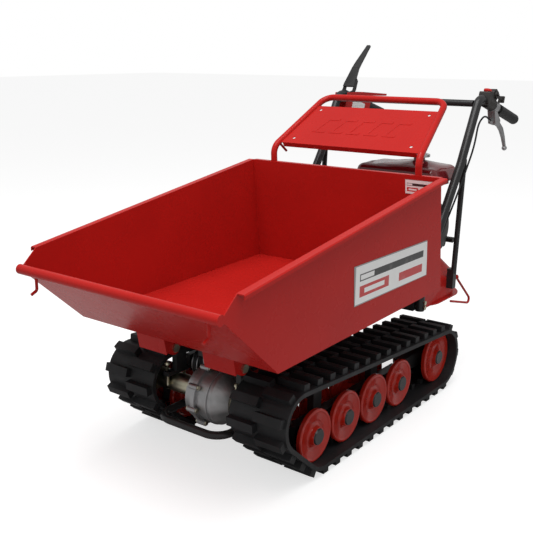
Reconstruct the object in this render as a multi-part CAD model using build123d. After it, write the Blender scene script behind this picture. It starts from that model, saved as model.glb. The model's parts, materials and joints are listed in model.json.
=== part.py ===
from build123d import *
from math import acos, atan2, cos, hypot, pi, radians, sin
import os

# Tracked power wheelbarrow. X is across (left side +X), -Y is forward, Z is up, z = 0 is the ground.
# Lengths are millimetres.

# ---- general
CLEARANCE = 0.3          # gap between curved faces of different bodies
RUNNING_FIT = 0.05       # radial gap of a shaft in its bore
SHEET = 3.0              # steel sheet of the bucket
SIDES = (("left", 1), ("right", -1))

# ---- tracks
TRACK_INNER_X = 136.0    # inner edge of each belt, clear of the gearbox and the bumper
TRACK_WIDTH = 180.0
TRACK_CENTRE_X = TRACK_INNER_X + TRACK_WIDTH / 2
BELT_THICKNESS = 12.0
LUG_HEIGHT = 18.0
LUG_PITCH = 60.0
LUG_LENGTH = 24.0        # along the belt
LUG_SIDE_GAP = 6.0       # from the belt's edge to a lug
HORN_HEIGHT = 16.0       # guide horns inside the belt
HORN_WIDTH = 12.0
HORN_OFFSET = 29.0       # centre of a horn from the middle of the belt
HORN_LENGTH = 18.0
BELT_NEUTRAL = 6.0       # depth of the cords that set the belt's speed
TRACK_INNER_Z = BELT_THICKNESS + LUG_HEIGHT

# ---- road wheels, idler and sprocket
WHEEL_RADIUS = 74.5
WHEEL_PITCH = 154.7
FIRST_WHEEL_Y = -405.5
WHEEL_COUNT = 4
DISC_OUTER = 59.0        # outer face of a wheel's disc from the middle of the belt
DISC_INNER = 44.0
HUB_RADIUS = 27.0
HUB_FACE = 66.0
CAP_RADIUS = 23.0
CAP_FACE = 70.0
AXLE_RADIUS = 10.0
IDLER_RADIUS = 85.0
IDLER_Y = 311.0
IDLER_TRAVEL = 12.0
SPROCKET_Y = -508.0
SPROCKET_Z = 188.0
SPROCKET_SEAT = 70.4     # inside radius of the belt round the sprocket
SPROCKET_TEETH = 8
SPROCKET_WIDTH = 28.0
SHAFT_RADIUS = 15.0

# ---- roller beams and their hangers
BEAM_WIDTH = 30.0
BEAM_HEIGHT = 46.0
BEAM_OVERHANG = 36.0     # beam beyond the first wheel's axle
BEAM_TAIL = 80.0         # beam behind the last axle, where the fork slides
BEAM_WALL = 4.0
CROSS_TUBE_RADIUS = 15.0
CROSS_TUBE_Z = 178.0
HANGER_THICKNESS = 20.0
FORK_GAP = 8.0           # between the beam's end and the fork, with the idler fully back

# ---- chassis rails
RAIL_X = 105.0
RAIL_WIDTH = 40.0
RAIL_BOTTOM = 282.0
RAIL_HEIGHT = 45.0
RAIL_WALL = 3.0
LEG_SIZE = 34.0
POST_X = -32.0           # post that carries the gearbox
POST_HALF = 20.0
POST_FRONT = -494.0
POST_BOTTOM = 278.0
SADDLE_X = 124.0         # studs of the saddles on the axle tubes
BOLT_BITE = 6.0          # handlebar bolts in the outriggers

# ---- gearbox
GEARBOX_LEFT_FACE = 100.0
GEARBOX_RIGHT_FACE = -35.0
GEARBOX_SEAM = 8.0
GEARBOX_RADIUS = 74.0
GEARBOX_WALL = 7.0
GEAR_MODULE = 3.0
GEAR_TEETH = 40
PINION_TEETH = 14
PINION_ANGLE = 42.0
INPUT_RADIUS = 10.0
AXLE_TUBE_RADIUS = 28.0
AXLE_TUBE_END = 193.0

# ---- belt drive
CRANK_PULLEY_RADIUS = 35.0
COUNTER_BIG_RADIUS = 50.0
COUNTER_SMALL_RADIUS = 35.0
INPUT_PULLEY_RADIUS = 45.0
PULLEY_WIDTH = 20.0
V_BELT_WIDTH = 12.0
V_BELT_DEPTH = 8.0
FINAL_BELT_X = -69.0
PRIMARY_BELT_X = -96.0
COUNTER_Y = 330.0
COUNTER_Z = 345.0
COUNTER_BEARING_X = (-140.0, -30.0)
TENSION_Y = 60.0
TENSION_ROLLER = 16.0
TENSION_SWING = 6.0      # how far the roller drops on to the belt
ARM_PIVOT = (TENSION_Y + 70.0, 318.0)

# ---- rear housing and engine
HOUSING_HALF = 250.0
HOUSING_FRONT = 264.0
HOUSING_REAR = 560.0
HOUSING_BOTTOM = 285.0
HOUSING_SHOULDER = 355.0
HOUSING_TOP = 405.0
HOUSING_CORNER = 95.0
HOUSING_FLANGE = 12.0
LOOP_EYE = (470.0, 352.0)
ENGINE_X = (-45.0, 150.0)
CRANK_Y = 430.0
CRANK_HEIGHT = 111.0     # crank axis above the engine's feet
CYLINDER_TILT = 25.0
CYLINDER_REACH = 175.0
FIN_COUNT = 9
FIN_PITCH = 9.5
FIN_THICKNESS = 3.0
FIN_HALF = 58.0
FIRST_FIN = 86.5
NECK_HALF = 14.0
POD_FRONT = 512.0        # exhaust box and air cleaner
POD_BOTTOM = 645.0
ROPE_AIM = (0.0, 0.94, 0.342)
ROPE_X = ENGINE_X[1] + 33.0
RECOIL_RADIUS = 100.0
TANK_WIDTH = 300.0
TANK_TOP = 757.0
TANK_BOTTOM = 688.0
TANK_CENTRE_X = 90.0
TANK_FRONT = 309.0
TANK_DEPTH = 190.0
TANK_CORNER = 26.0
CAP_X = 152.0
CAP_Y = 380.0

# ---- bucket
LIP_Y = -856.0
LIP_Z = 554.0
LIP_RADIUS = 13.0
RIM_FRONT_Y = -803.0
RIM_FRONT_Z = 601.0
REAR_TOP_Y = 128.0
REAR_TOP_Z = 737.0
REAR_FLOOR_Y = 171.0
REAR_FLOOR_Z = 394.0
FRONT_FLOOR_Y = -655.0
FRONT_FLOOR_Z = 374.0
BUCKET_HALF_FRONT = 336.0
BUCKET_HALF_REAR = 346.0
RIM_WIDTH = 20.0
RIM_DROP = 12.0
PIVOT_Y = -571.0
PIVOT_Z = 320.0
PIVOT_RADIUS = 8.0
BUSH_RADIUS = 18.0
BRACKET_IN = 67.0
BRACKET_OUT = 170.0
BRACKET_SHEET = 6.0
TIP_ANGLE = 70.0

# ---- guard behind the bucket
HOOP_RADIUS = 10.5
HOOP_HALF_FOOT = 266.0
HOOP_HALF_TOP = 225.0
HOOP_BEND_Z = 784.0
HOOP_TOP_Y = 388.0
HOOP_TOP_Z = 937.0
PANEL_LOW_Z = 797.0
PANEL_HIGH_Z = 908.0
ROD_RADIUS = 4.0

# ---- handlebars
HANDLE_X = 268.0
HANDLE_RADIUS = 14.0
TUBE_WALL = 2.0
GRIP_RADIUS = 18.0
CROSS_BAR_Y = 533.0
CROSS_BAR_Z = 926.0
CROSS_BAR_RADIUS = 11.0
BRACE_RADIUS = 9.0
STUB_Y = 200.0
STUB_BOTTOM = 300.0
STUB_TOP = 400.0
STUB_BOLT_ZS = (STUB_BOTTOM + 12.0, STUB_BOTTOM + 28.0)
HANDLE_KNEE = (433.0, 740.0)
HANDLE_BEND = (542.0, 946.0)     # corner (y, z) where the handle turns back to the grip
HANDLE_END = (858.3, 856.7)
HANDLE_BENDS = [40.0, 60.0, 38.0]
GRIP_LENGTH = 165.0
BRACE_LOW = (437.0, 372.0)
BRACE_HIGH = (459.0, 752.0)
LEVER_PIVOT = (694.0, 857.0)
PERCH_ALONG = 112.0      # along the handle from its bend
BUTTON_ALONG = 58.0
BUTTON_RADIUS = 13.0
BUTTON_TRAVEL = 3.0
THROTTLE_ALONG = 92.0
CABLE_RADIUS = 3.0
BUMPER_RADIUS = 11.0
BUMPER_Y = -600.0
BUMPER_Z = 118.0
BUMPER_HALF = 114.0


# ---- small makers -------------------------------------------------------------------------
def block(x0, x1, y0, y1, z0, z1):
    """A box given by its limits."""
    return Pos((x0 + x1) / 2, (y0 + y1) / 2, (z0 + z1) / 2) * Box(abs(x1 - x0), abs(y1 - y0), abs(z1 - z0))


def rod_x(radius, x0, x1, y, z):
    """A round bar along X."""
    return Pos((x0 + x1) / 2, y, z) * Rot(0, 90, 0) * Cylinder(radius, abs(x1 - x0))


def rod(start, end, radius):
    """A round bar from one point to another."""
    line = Line(tuple(start), tuple(end))
    return extrude(Plane(origin=line @ 0, z_dir=line % 0) * Circle(radius), amount=line.length)


def plate(points, x0, x1):
    """A flat plate with its outline in the Y-Z plane, between two X positions."""
    face = make_face(Polyline(*points, close=True))
    return extrude(Plane.YZ.offset(min(x0, x1)) * face, amount=abs(x1 - x0))


def turned(profile, y, z):
    """A shape turned about an axis along X; the profile holds (x, radius) points."""
    return Pos(0, y, z) * revolve(make_face(Polyline(*profile, close=True)), Axis.X)


def bent_tube(points, bend, radius, wall=None):
    """A round tube or bar along straight runs joined by bends."""
    path = FilletPolyline(*points, radius=bend)
    section = Circle(radius)
    if wall:
        section = section - Circle(radius - wall)
    return sweep(Plane(origin=path @ 0, z_dir=path % 0) * section, path=path)


def mirrored(shape, side):
    """The shape on the left, or its mirror image on the right."""
    if side > 0:
        return shape
    return mirror(shape, about=Plane.YZ)


def pair(shape):
    """A left piece and its mirror image on the right."""
    return Compound([mirrored(shape, side) for _, side in SIDES])


def tangent_angle(start, end):
    """Direction of the outward normal of the belt run between two circles (y, z, radius)."""
    dy = end[0] - start[0]
    dz = end[1] - start[1]
    return atan2(dz, dy) - acos((start[2] - end[2]) / hypot(dy, dz))


def on_circle(circle, angle, extra=0.0):
    """The point (y, z) on a circle."""
    reach = circle[2] + extra
    return (circle[0] + reach * cos(angle), circle[1] + reach * sin(angle))


def belt_runs(circles):
    """The outward normal angles before and after each circle, going round counter-clockwise."""
    count = len(circles)
    normals = [tangent_angle(circles[i], circles[(i + 1) % count]) for i in range(count)]
    runs = []
    for i in range(count):
        first = normals[i - 1]
        last = normals[i]
        while last < first:
            last += 2 * pi
        while last - first > 2 * pi:
            last -= 2 * pi
        runs.append((circles[i], first, last))
    return runs


def belt_face(circles, extra):
    """The area inside a belt round the circles, with its surface moved out by extra."""
    edges = []
    runs = belt_runs(circles)
    for i, (circle, first, last) in enumerate(runs):
        points = [on_circle(circle, angle, extra) for angle in (first, (first + last) / 2, last)]
        edges.append(ThreePointArc(*points))
        after, angle, _ = runs[(i + 1) % len(runs)]
        edges.append(Line(points[2], on_circle(after, angle, extra)))
    return make_face(edges)


def belt_ring(circles, inner, outer, x0, x1):
    """A belt round the circles between two offsets."""
    face = belt_face(circles, outer) - belt_face(circles, inner)
    return extrude(Plane.YZ.offset(x0) * face, amount=x1 - x0)


def belt_stations(circles, extra, pitch, shift=0.0):
    """Evenly spaced places (y, z, normal angle) along a belt's surface; a share of a pitch shifts them."""
    pieces = []
    runs = belt_runs(circles)
    for i, (circle, first, last) in enumerate(runs):
        pieces.append(("arc", circle, first, last, (circle[2] + extra) * (last - first)))
        after = runs[(i + 1) % len(runs)][0]
        start = on_circle(circle, last, extra)
        end = on_circle(after, last, extra)
        pieces.append(("line", start, end, last, hypot(end[0] - start[0], end[1] - start[1])))
    total = sum(piece[4] for piece in pieces)
    count = round(total / pitch)
    stations = []
    for index in range(count):
        distance = (index + shift) * total / count
        for kind, a, b, c, length in pieces:
            if distance <= length:
                share = distance / length
                if kind == "arc":
                    angle = b + (c - b) * share
                    stations.append((*on_circle(a, angle, extra), angle))
                else:
                    stations.append((a[0] + (b[0] - a[0]) * share, a[1] + (b[1] - a[1]) * share, c))
                break
            distance -= length
    return stations


# ---- tracks and running gear --------------------------------------------------------------
WHEEL_Z = TRACK_INNER_Z + WHEEL_RADIUS
IDLER_Z = TRACK_INNER_Z + IDLER_RADIUS
WHEEL_YS = [FIRST_WHEEL_Y + i * WHEEL_PITCH for i in range(WHEEL_COUNT)]
TRACK_CIRCLES = [
    (FIRST_WHEEL_Y, WHEEL_Z, WHEEL_RADIUS),
    (IDLER_Y, IDLER_Z, IDLER_RADIUS),
    (SPROCKET_Y, SPROCKET_Z, SPROCKET_SEAT),
]
CROSS_TUBE_YS = [(WHEEL_YS[0] + WHEEL_YS[1]) / 2, (WHEEL_YS[2] + WHEEL_YS[3]) / 2]
BEAM_FRONT = FIRST_WHEEL_Y - BEAM_OVERHANG
BEAM_REAR = WHEEL_YS[-1] + BEAM_TAIL


def track(side):
    """A rubber belt with staggered tread lugs outside and two rows of guide horns inside."""
    inner_x = TRACK_CENTRE_X - TRACK_WIDTH / 2
    belt = belt_ring(TRACK_CIRCLES, 0, BELT_THICKNESS, inner_x, inner_x + TRACK_WIDTH)
    bite = 3.0           # how deep a lug or horn is rooted in the belt
    lug_width = TRACK_WIDTH / 2 - LUG_SIDE_GAP
    lugs = []
    for half, shift in ((1, 0.25), (-1, 0.75)):
        centre_x = TRACK_CENTRE_X + half * (TRACK_WIDTH / 4 - LUG_SIDE_GAP / 2)
        for y, z, angle in belt_stations(TRACK_CIRCLES, BELT_THICKNESS, LUG_PITCH, shift):
            lug = Pos(0, 0, (LUG_HEIGHT - bite) / 2) * Box(lug_width, LUG_LENGTH, LUG_HEIGHT + bite)
            lugs.append(Pos(centre_x, y, z) * Rot(angle * 180 / pi - 90, 0, 0) * lug)
    for half in (1, -1):
        for y, z, angle in belt_stations(TRACK_CIRCLES, 0, LUG_PITCH):
            horn = Pos(0, 0, -(HORN_HEIGHT - bite) / 2) * Box(HORN_WIDTH, HORN_LENGTH, HORN_HEIGHT + bite)
            place = Pos(TRACK_CENTRE_X + half * HORN_OFFSET, y, z)
            lugs.append(place * Rot(angle * 180 / pi - 90, 0, 0) * horn)
    ground = block(inner_x - 1, inner_x + TRACK_WIDTH + 1, SPROCKET_Y - 200, IDLER_Y + 200, -LUG_HEIGHT, 0)
    return mirrored(belt.fuse(*lugs).solids()[0] - ground, side)


def wheel_disc(radius, half):
    """One dished steel disc of a road wheel or idler, with its hub and its domed cap."""
    rim = radius - CLEARANCE
    bore = AXLE_RADIUS + RUNNING_FIT
    profile = [
        (BEAM_WIDTH / 2 + 3, bore),
        (BEAM_WIDTH / 2 + 3, HUB_RADIUS),
        (DISC_INNER + 2, HUB_RADIUS),
        (DISC_INNER + 2, rim * 0.52),
        (DISC_INNER + 6, rim * 0.58),
        (DISC_INNER + 6, rim - 9),
        (DISC_INNER, rim - 6),
        (DISC_INNER, rim - 2),
        (DISC_INNER + 2, rim),
        (DISC_OUTER - 3, rim),
        (DISC_OUTER, rim - 3),
        (DISC_OUTER, rim - 7),
        (DISC_OUTER - 4, rim - 11),
        (DISC_OUTER - 4, rim * 0.60),
        (DISC_OUTER - 8, rim * 0.54),
        (DISC_OUTER - 8, HUB_RADIUS + 4),
        (DISC_OUTER - 4, HUB_RADIUS),
        (HUB_FACE, HUB_RADIUS - 2),
        (HUB_FACE, CAP_RADIUS),
        (CAP_FACE, CAP_RADIUS - 2),
        (CAP_FACE, 0),
        (CAP_FACE - 5, 0),
        (CAP_FACE - 5, bore),
    ]
    return turned([(TRACK_CENTRE_X + half * x, r) for x, r in profile], 0, 0)


def road_wheel(side, radius, y, z):
    """The two discs of one wheel, either side of the beam."""
    discs = [Pos(0, y, z) * mirrored(wheel_disc(radius, half), side) for half in (1, -1)]
    return Compound(discs)


def wheel_axles():
    """The fixed axles that carry the road wheels through the beams."""
    reach = CAP_FACE - 5 - CLEARANCE
    bars = []
    for _, side in SIDES:
        for y in WHEEL_YS:
            centre = side * TRACK_CENTRE_X
            bars.append(rod_x(AXLE_RADIUS, centre - reach, centre + reach, y, WHEEL_Z))
    return Compound(bars)


def roller_beams():
    """Two hollow beams between the wheel discs, with hangers up to the cross tubes."""
    beams = []
    low = WHEEL_Z - BEAM_HEIGHT / 2
    high = WHEEL_Z + BEAM_HEIGHT / 2
    x0 = TRACK_CENTRE_X - BEAM_WIDTH / 2
    x1 = TRACK_CENTRE_X + BEAM_WIDTH / 2
    for _, side in SIDES:
        beam = block(x0, x1, BEAM_FRONT, BEAM_REAR, low, high)
        beam -= block(x0 + BEAM_WALL, x1 - BEAM_WALL, WHEEL_YS[-1] + AXLE_RADIUS + BEAM_WALL,
                      BEAM_REAR + 1, low + BEAM_WALL, high - BEAM_WALL)
        for y in CROSS_TUBE_YS:
            beam += block(x0 + 5, x1 - 5, y - HANGER_THICKNESS, y + HANGER_THICKNESS, high - 1, CROSS_TUBE_Z + 20)
            beam -= rod_x(CROSS_TUBE_RADIUS, x0, x1, y, CROSS_TUBE_Z)
        for y in WHEEL_YS:
            beam -= rod_x(AXLE_RADIUS, x0 - 1, x1 + 1, y, WHEEL_Z)
        beams.append(mirrored(beam, side))
    return Compound(beams)


def idler_fork(side):
    """The sliding fork behind the beam: a tongue in the beam, a yoke plate and the idler's axle."""
    tongue_half = BEAM_WIDTH / 2 - BEAM_WALL - CLEARANCE
    tongue_tall = BEAM_HEIGHT / 2 - BEAM_WALL - CLEARANCE
    front = BEAM_REAR - IDLER_TRAVEL - 30
    reach = CAP_FACE - 5 - CLEARANCE
    centre = TRACK_CENTRE_X
    fork = block(centre - tongue_half, centre + tongue_half, front, IDLER_Y + 22,
                 WHEEL_Z - tongue_tall, WHEEL_Z + tongue_tall)
    yoke_front = BEAM_REAR + IDLER_TRAVEL + FORK_GAP
    fork += block(centre - BEAM_WIDTH / 2, centre + BEAM_WIDTH / 2, yoke_front, IDLER_Y + 22,
                  IDLER_Z - 22, IDLER_Z + 22)
    fork += rod_x(AXLE_RADIUS, centre - reach, centre + reach, IDLER_Y, IDLER_Z)
    return mirrored(fork, side)


def sprocket(side):
    """The drive sprocket with its hub and the half shaft that runs into the gearbox."""
    root = SPROCKET_SEAT - 16
    tip = SPROCKET_SEAT - CLEARANCE - 0.2
    tooth = radians(360 / SPROCKET_TEETH)
    points = []
    for i in range(SPROCKET_TEETH):
        for reach, share in ((root, -0.34), (tip, -0.15), (tip, 0.15), (root, 0.34)):
            angle = (i + share) * tooth
            points.append((reach * cos(angle), reach * sin(angle)))
    x0 = TRACK_CENTRE_X - SPROCKET_WIDTH / 2
    wheel = Pos(0, SPROCKET_Y, SPROCKET_Z) * plate(points, x0, x0 + SPROCKET_WIDTH)
    gear_side = SHAFT_ENDS[side] * side
    hub_end = AXLE_TUBE_END + 2
    wheel += rod_x(34, hub_end, x0 + SPROCKET_WIDTH + 8, SPROCKET_Y, SPROCKET_Z)
    wheel += rod_x(SHAFT_RADIUS, gear_side, hub_end, SPROCKET_Y, SPROCKET_Z)
    return mirrored(wheel, side)


# ---- gearbox ------------------------------------------------------------------------------
GEAR_PITCH_RADIUS = GEAR_MODULE * GEAR_TEETH / 2
PINION_PITCH_RADIUS = GEAR_MODULE * PINION_TEETH / 2
GEAR_CENTRES = GEAR_PITCH_RADIUS + PINION_PITCH_RADIUS
INPUT_Y = SPROCKET_Y + GEAR_CENTRES * cos(radians(PINION_ANGLE))
INPUT_Z = SPROCKET_Z + GEAR_CENTRES * sin(radians(PINION_ANGLE))
GEAR_X = (22.0, 46.0)
SHAFT_ENDS = {1: 14.0, -1: 12.0}     # inner ends of the left and right half shafts, a gap apart
INPUT_LOBE = PINION_PITCH_RADIUS + 13


def gear_outline(teeth, tooth_angle):
    """A gear's outline with straight-sided teeth, with one tooth at the given angle."""
    pitch = GEAR_MODULE * teeth / 2
    root = pitch - 1.25 * GEAR_MODULE
    tip = pitch + 0.85 * GEAR_MODULE
    step = 2 * pi / teeth
    points = []
    for i in range(teeth):
        for reach, share in ((root, -0.30), (tip, -0.10), (tip, 0.10), (root, 0.30)):
            angle = tooth_angle + (i + share) * step
            points.append((reach * cos(angle), reach * sin(angle)))
    return points


def axle_gear():
    """The large gear that turns on the left half shaft inside the gearbox."""
    gear = plate(gear_outline(GEAR_TEETH, radians(PINION_ANGLE)), *GEAR_X)
    gear -= rod_x(SHAFT_RADIUS + RUNNING_FIT, GEAR_X[0] - 1, GEAR_X[1] + 1, 0, 0)
    return Pos(0, SPROCKET_Y, SPROCKET_Z) * gear


def input_shaft():
    """The gearbox's input shaft with its pinion and the driven pulley, one pressed assembly."""
    gap_angle = radians(PINION_ANGLE + 180) + pi / PINION_TEETH
    shaft = plate(gear_outline(PINION_TEETH, gap_angle), *GEAR_X)
    inner_end = GEARBOX_LEFT_FACE - 30 - GEARBOX_WALL
    shaft += rod_x(INPUT_RADIUS, FINAL_BELT_X, inner_end, 0, 0)
    return Pos(0, INPUT_Y, INPUT_Z) * (shaft + pulley(INPUT_PULLEY_RADIUS, FINAL_BELT_X))


def gearbox_body(grow):
    """The gearbox's outline solid; a negative value shrinks it to the hollow inside."""
    face_in = GEARBOX_RIGHT_FACE - grow
    face_out = GEARBOX_LEFT_FACE + grow
    radius = GEARBOX_RADIUS + grow
    lobe = INPUT_LOBE + grow
    body = turned([(face_in, 0), (face_in, radius - 16), (face_in + 12, radius), (face_out - 36, radius),
                   (face_out, radius - 32), (face_out, 0)], SPROCKET_Y, SPROCKET_Z)
    return body + rod_x(lobe, face_in, face_out - 30, INPUT_Y, INPUT_Z)


def gearbox_halves():
    """Two cast halves that meet at a bolted flange round the seam."""
    flange = 7.0
    shell = gearbox_body(0)
    rib = rod_x(GEARBOX_RADIUS + 9, GEARBOX_SEAM - flange, GEARBOX_SEAM + flange, SPROCKET_Y, SPROCKET_Z)
    rib += rod_x(INPUT_LOBE + 7, GEARBOX_SEAM - flange, GEARBOX_SEAM + flange, INPUT_Y, INPUT_Z)
    shell += rib
    shell += rod_x(GEARBOX_RADIUS + 3, 46, 52, SPROCKET_Y, SPROCKET_Z)
    pad = block(GEARBOX_RIGHT_FACE, GEARBOX_SEAM - flange, POST_FRONT, POST_FRONT + 46, INPUT_Z, POST_BOTTOM)
    shell += pad
    for y, z in gearbox_bolt_places():
        shell += rod_x(8, GEARBOX_SEAM - 14, GEARBOX_SEAM + 14, y, z)
    shell -= gearbox_body(-GEARBOX_WALL)
    bore = SHAFT_RADIUS + RUNNING_FIT
    shell -= rod_x(bore, GEARBOX_RIGHT_FACE - 20, GEARBOX_LEFT_FACE + 20, SPROCKET_Y, SPROCKET_Z)
    inner_end = GEARBOX_LEFT_FACE - 30
    shell -= rod_x(INPUT_RADIUS + RUNNING_FIT, GEARBOX_RIGHT_FACE - 20, inner_end - GEARBOX_WALL,
                   INPUT_Y, INPUT_Z)
    for y, z in gearbox_bolt_places():
        shell -= rod_x(3.5, GEARBOX_SEAM - 30, GEARBOX_SEAM + 30, y, z)
    wide = 400.0
    right = shell & block(GEARBOX_SEAM - wide, GEARBOX_SEAM, -wide * 3, wide, -wide, wide)
    left = shell & block(GEARBOX_SEAM, GEARBOX_SEAM + wide, -wide * 3, wide, -wide, wide)
    return left, right


def gearbox_bolt_places():
    """Centres of the bolts round the seam, clear of the input lobe."""
    reach = GEARBOX_RADIUS + 9
    angles = (105, 150, 195, 240, 285, 325)
    return [(SPROCKET_Y + reach * cos(radians(a)), SPROCKET_Z + reach * sin(radians(a))) for a in angles]


def hex_bolt(x0, x1, y, z, shank, head):
    """A bolt along X: hexagon head at x1, shank, nut at x0."""
    bolt = rod_x(shank, x0, x1, y, z)
    for x, direction in ((x1, 1), (x0, -1)):
        thickness = head * 0.55
        hexagon = Plane.YZ.offset(x) * Pos(y, z) * RegularPolygon(head, 6)
        bolt += extrude(hexagon, amount=direction * thickness)
    return bolt


def bolts():
    """The zinc bolts of the chassis: gearbox seam, axle tube saddles and handlebar ends."""
    group = []
    for y, z in gearbox_bolt_places():
        group.append(hex_bolt(GEARBOX_SEAM - 14, GEARBOX_SEAM + 14, y, z, 3.5, 6.5))
    for _, side in SIDES:
        for z in STUB_BOLT_ZS:
            bolt = rod_x(4, HANDLE_X - HANDLE_RADIUS - BOLT_BITE, HANDLE_X + HANDLE_RADIUS + 1, STUB_Y, z)
            bolt += rod_x(7, HANDLE_X + HANDLE_RADIUS, HANDLE_X + HANDLE_RADIUS + 5, STUB_Y, z)
            group.append(mirrored(bolt, side))
        for dy in (-1, 1):
            y = SPROCKET_Y + dy * (AXLE_TUBE_RADIUS + 7)
            stud = Pos(side * SADDLE_X, y, SPROCKET_Z + 34) * Cylinder(4, 68)
            nut_z = SPROCKET_Z + 68
            stud += Pos(side * SADDLE_X, y, nut_z - 4) * Cylinder(7, 6)
            group.append(stud)
    return Compound(group)


def axle_tubes():
    """The fixed tubes round the half shafts, with the ring flange at each outer end."""
    tubes = []
    for face, side in ((GEARBOX_LEFT_FACE, 1), (-GEARBOX_RIGHT_FACE, -1)):
        tube = rod_x(AXLE_TUBE_RADIUS, face, AXLE_TUBE_END, SPROCKET_Y, SPROCKET_Z)
        tube += rod_x(AXLE_TUBE_RADIUS + 9, face, face + 6, SPROCKET_Y, SPROCKET_Z)
        tube += rod_x(AXLE_TUBE_RADIUS + 9, AXLE_TUBE_END - 8, AXLE_TUBE_END, SPROCKET_Y, SPROCKET_Z)
        tube -= rod_x(SHAFT_RADIUS + RUNNING_FIT, face - 1, AXLE_TUBE_END + 1, SPROCKET_Y, SPROCKET_Z)
        tubes.append(mirrored(tube, side))
    return Compound(tubes)


# ---- belt drive ---------------------------------------------------------------------------
def pulley(radius, x):
    """A grooved pulley about the X axis, centred at x."""
    half = PULLEY_WIDTH / 2
    floor = radius - V_BELT_DEPTH - 1
    top = V_BELT_WIDTH / 2 + 1
    bottom = top - 2
    return turned([(x - half, 0), (x - half, radius), (x - top, radius), (x - bottom, floor),
                   (x + bottom, floor), (x + top, radius), (x + half, radius), (x + half, 0)], 0, 0)


def v_belt(first, second, x):
    """A belt in the grooves of two pulleys (y, z, radius)."""
    floors = [(y, z, radius - V_BELT_DEPTH) for y, z, radius in (first, second)]
    half = V_BELT_WIDTH / 2 - 1.5
    return belt_ring(floors, 0, V_BELT_DEPTH, x - half, x + half)


CRANK_Z = HOUSING_TOP + CRANK_HEIGHT
ROPE_GUIDE = (CRANK_Y + 76.0, CRANK_Z - 62.0)
FINAL_LOW = (INPUT_Y, INPUT_Z, INPUT_PULLEY_RADIUS)
FINAL_HIGH = (COUNTER_Y, COUNTER_Z, COUNTER_SMALL_RADIUS)
PRIMARY_LOW = (COUNTER_Y, COUNTER_Z, COUNTER_BIG_RADIUS)
PRIMARY_HIGH = (CRANK_Y, CRANK_Z, CRANK_PULLEY_RADIUS)


def drive_belts():
    """The belt from the engine to the countershaft and the long belt on to the gearbox."""
    return Compound([v_belt(PRIMARY_LOW, PRIMARY_HIGH, PRIMARY_BELT_X), v_belt(FINAL_LOW, FINAL_HIGH, FINAL_BELT_X)])


def countershaft():
    """The shaft in the rear housing with its two pulleys."""
    shaft = rod_x(SHAFT_RADIUS - 5, COUNTER_BEARING_X[0], COUNTER_BEARING_X[1], 0, 0)
    shaft += pulley(COUNTER_BIG_RADIUS, PRIMARY_BELT_X)
    shaft += pulley(COUNTER_SMALL_RADIUS, FINAL_BELT_X)
    return Pos(0, COUNTER_Y, COUNTER_Z) * shaft


def crank_pulley():
    """The engine's output shaft with its pulley."""
    shaft = rod_x(SHAFT_RADIUS - 5, PRIMARY_BELT_X, ENGINE_X[0] + 20, 0, 0)
    return Pos(0, CRANK_Y, CRANK_Z) * (shaft + pulley(CRANK_PULLEY_RADIUS, PRIMARY_BELT_X))


def final_belt_top(y):
    """Height of the final belt's back on its upper run."""
    angle = tangent_angle(FINAL_HIGH, FINAL_LOW)
    start = on_circle(FINAL_HIGH, angle)
    end = on_circle(FINAL_LOW, angle)
    return start[1] + (end[1] - start[1]) * (y - start[0]) / (end[0] - start[0])


def tension_arm():
    """The clutch arm: a pivot tube, a flat arm and the roller that presses the final belt."""
    roller_z = final_belt_top(TENSION_Y) + TENSION_ROLLER + TENSION_SWING + 1
    x0 = FINAL_BELT_X + 8
    x1 = x0 + 6
    bore = 6 + RUNNING_FIT
    arm = plate([(TENSION_Y - 8, roller_z - 7), (TENSION_Y - 8, roller_z + 7), (ARM_PIVOT[0] + 4, ARM_PIVOT[1] + 10),
                 (ARM_PIVOT[0] + 4, ARM_PIVOT[1] - 10)], x0, x1)
    arm += rod_x(11, x0, -x0 - 40, *ARM_PIVOT)
    arm -= rod_x(bore, x0 - 1, -x0 - 39, *ARM_PIVOT)
    arm += rod_x(5, FINAL_BELT_X, x1, TENSION_Y, roller_z)
    arm += rod_x(TENSION_ROLLER, FINAL_BELT_X - 7, FINAL_BELT_X + 7, TENSION_Y, roller_z)
    return arm


# ---- chassis ------------------------------------------------------------------------------
def hollow_bar(x0, x1, y0, y1, z0, z1, wall, along):
    """A rectangular tube; along names its long axis and its ends are open."""
    outer = block(x0, x1, y0, y1, z0, z1)
    grow = {"x": (1, 0, 0), "y": (0, 1, 0), "z": (0, 0, 1)}[along]
    limits = []
    for low, high, free in ((x0, x1, grow[0]), (y0, y1, grow[1]), (z0, z1, grow[2])):
        limits += [low - 1, high + 1] if free else [low + wall, high - wall]
    return outer - block(*limits)


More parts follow.
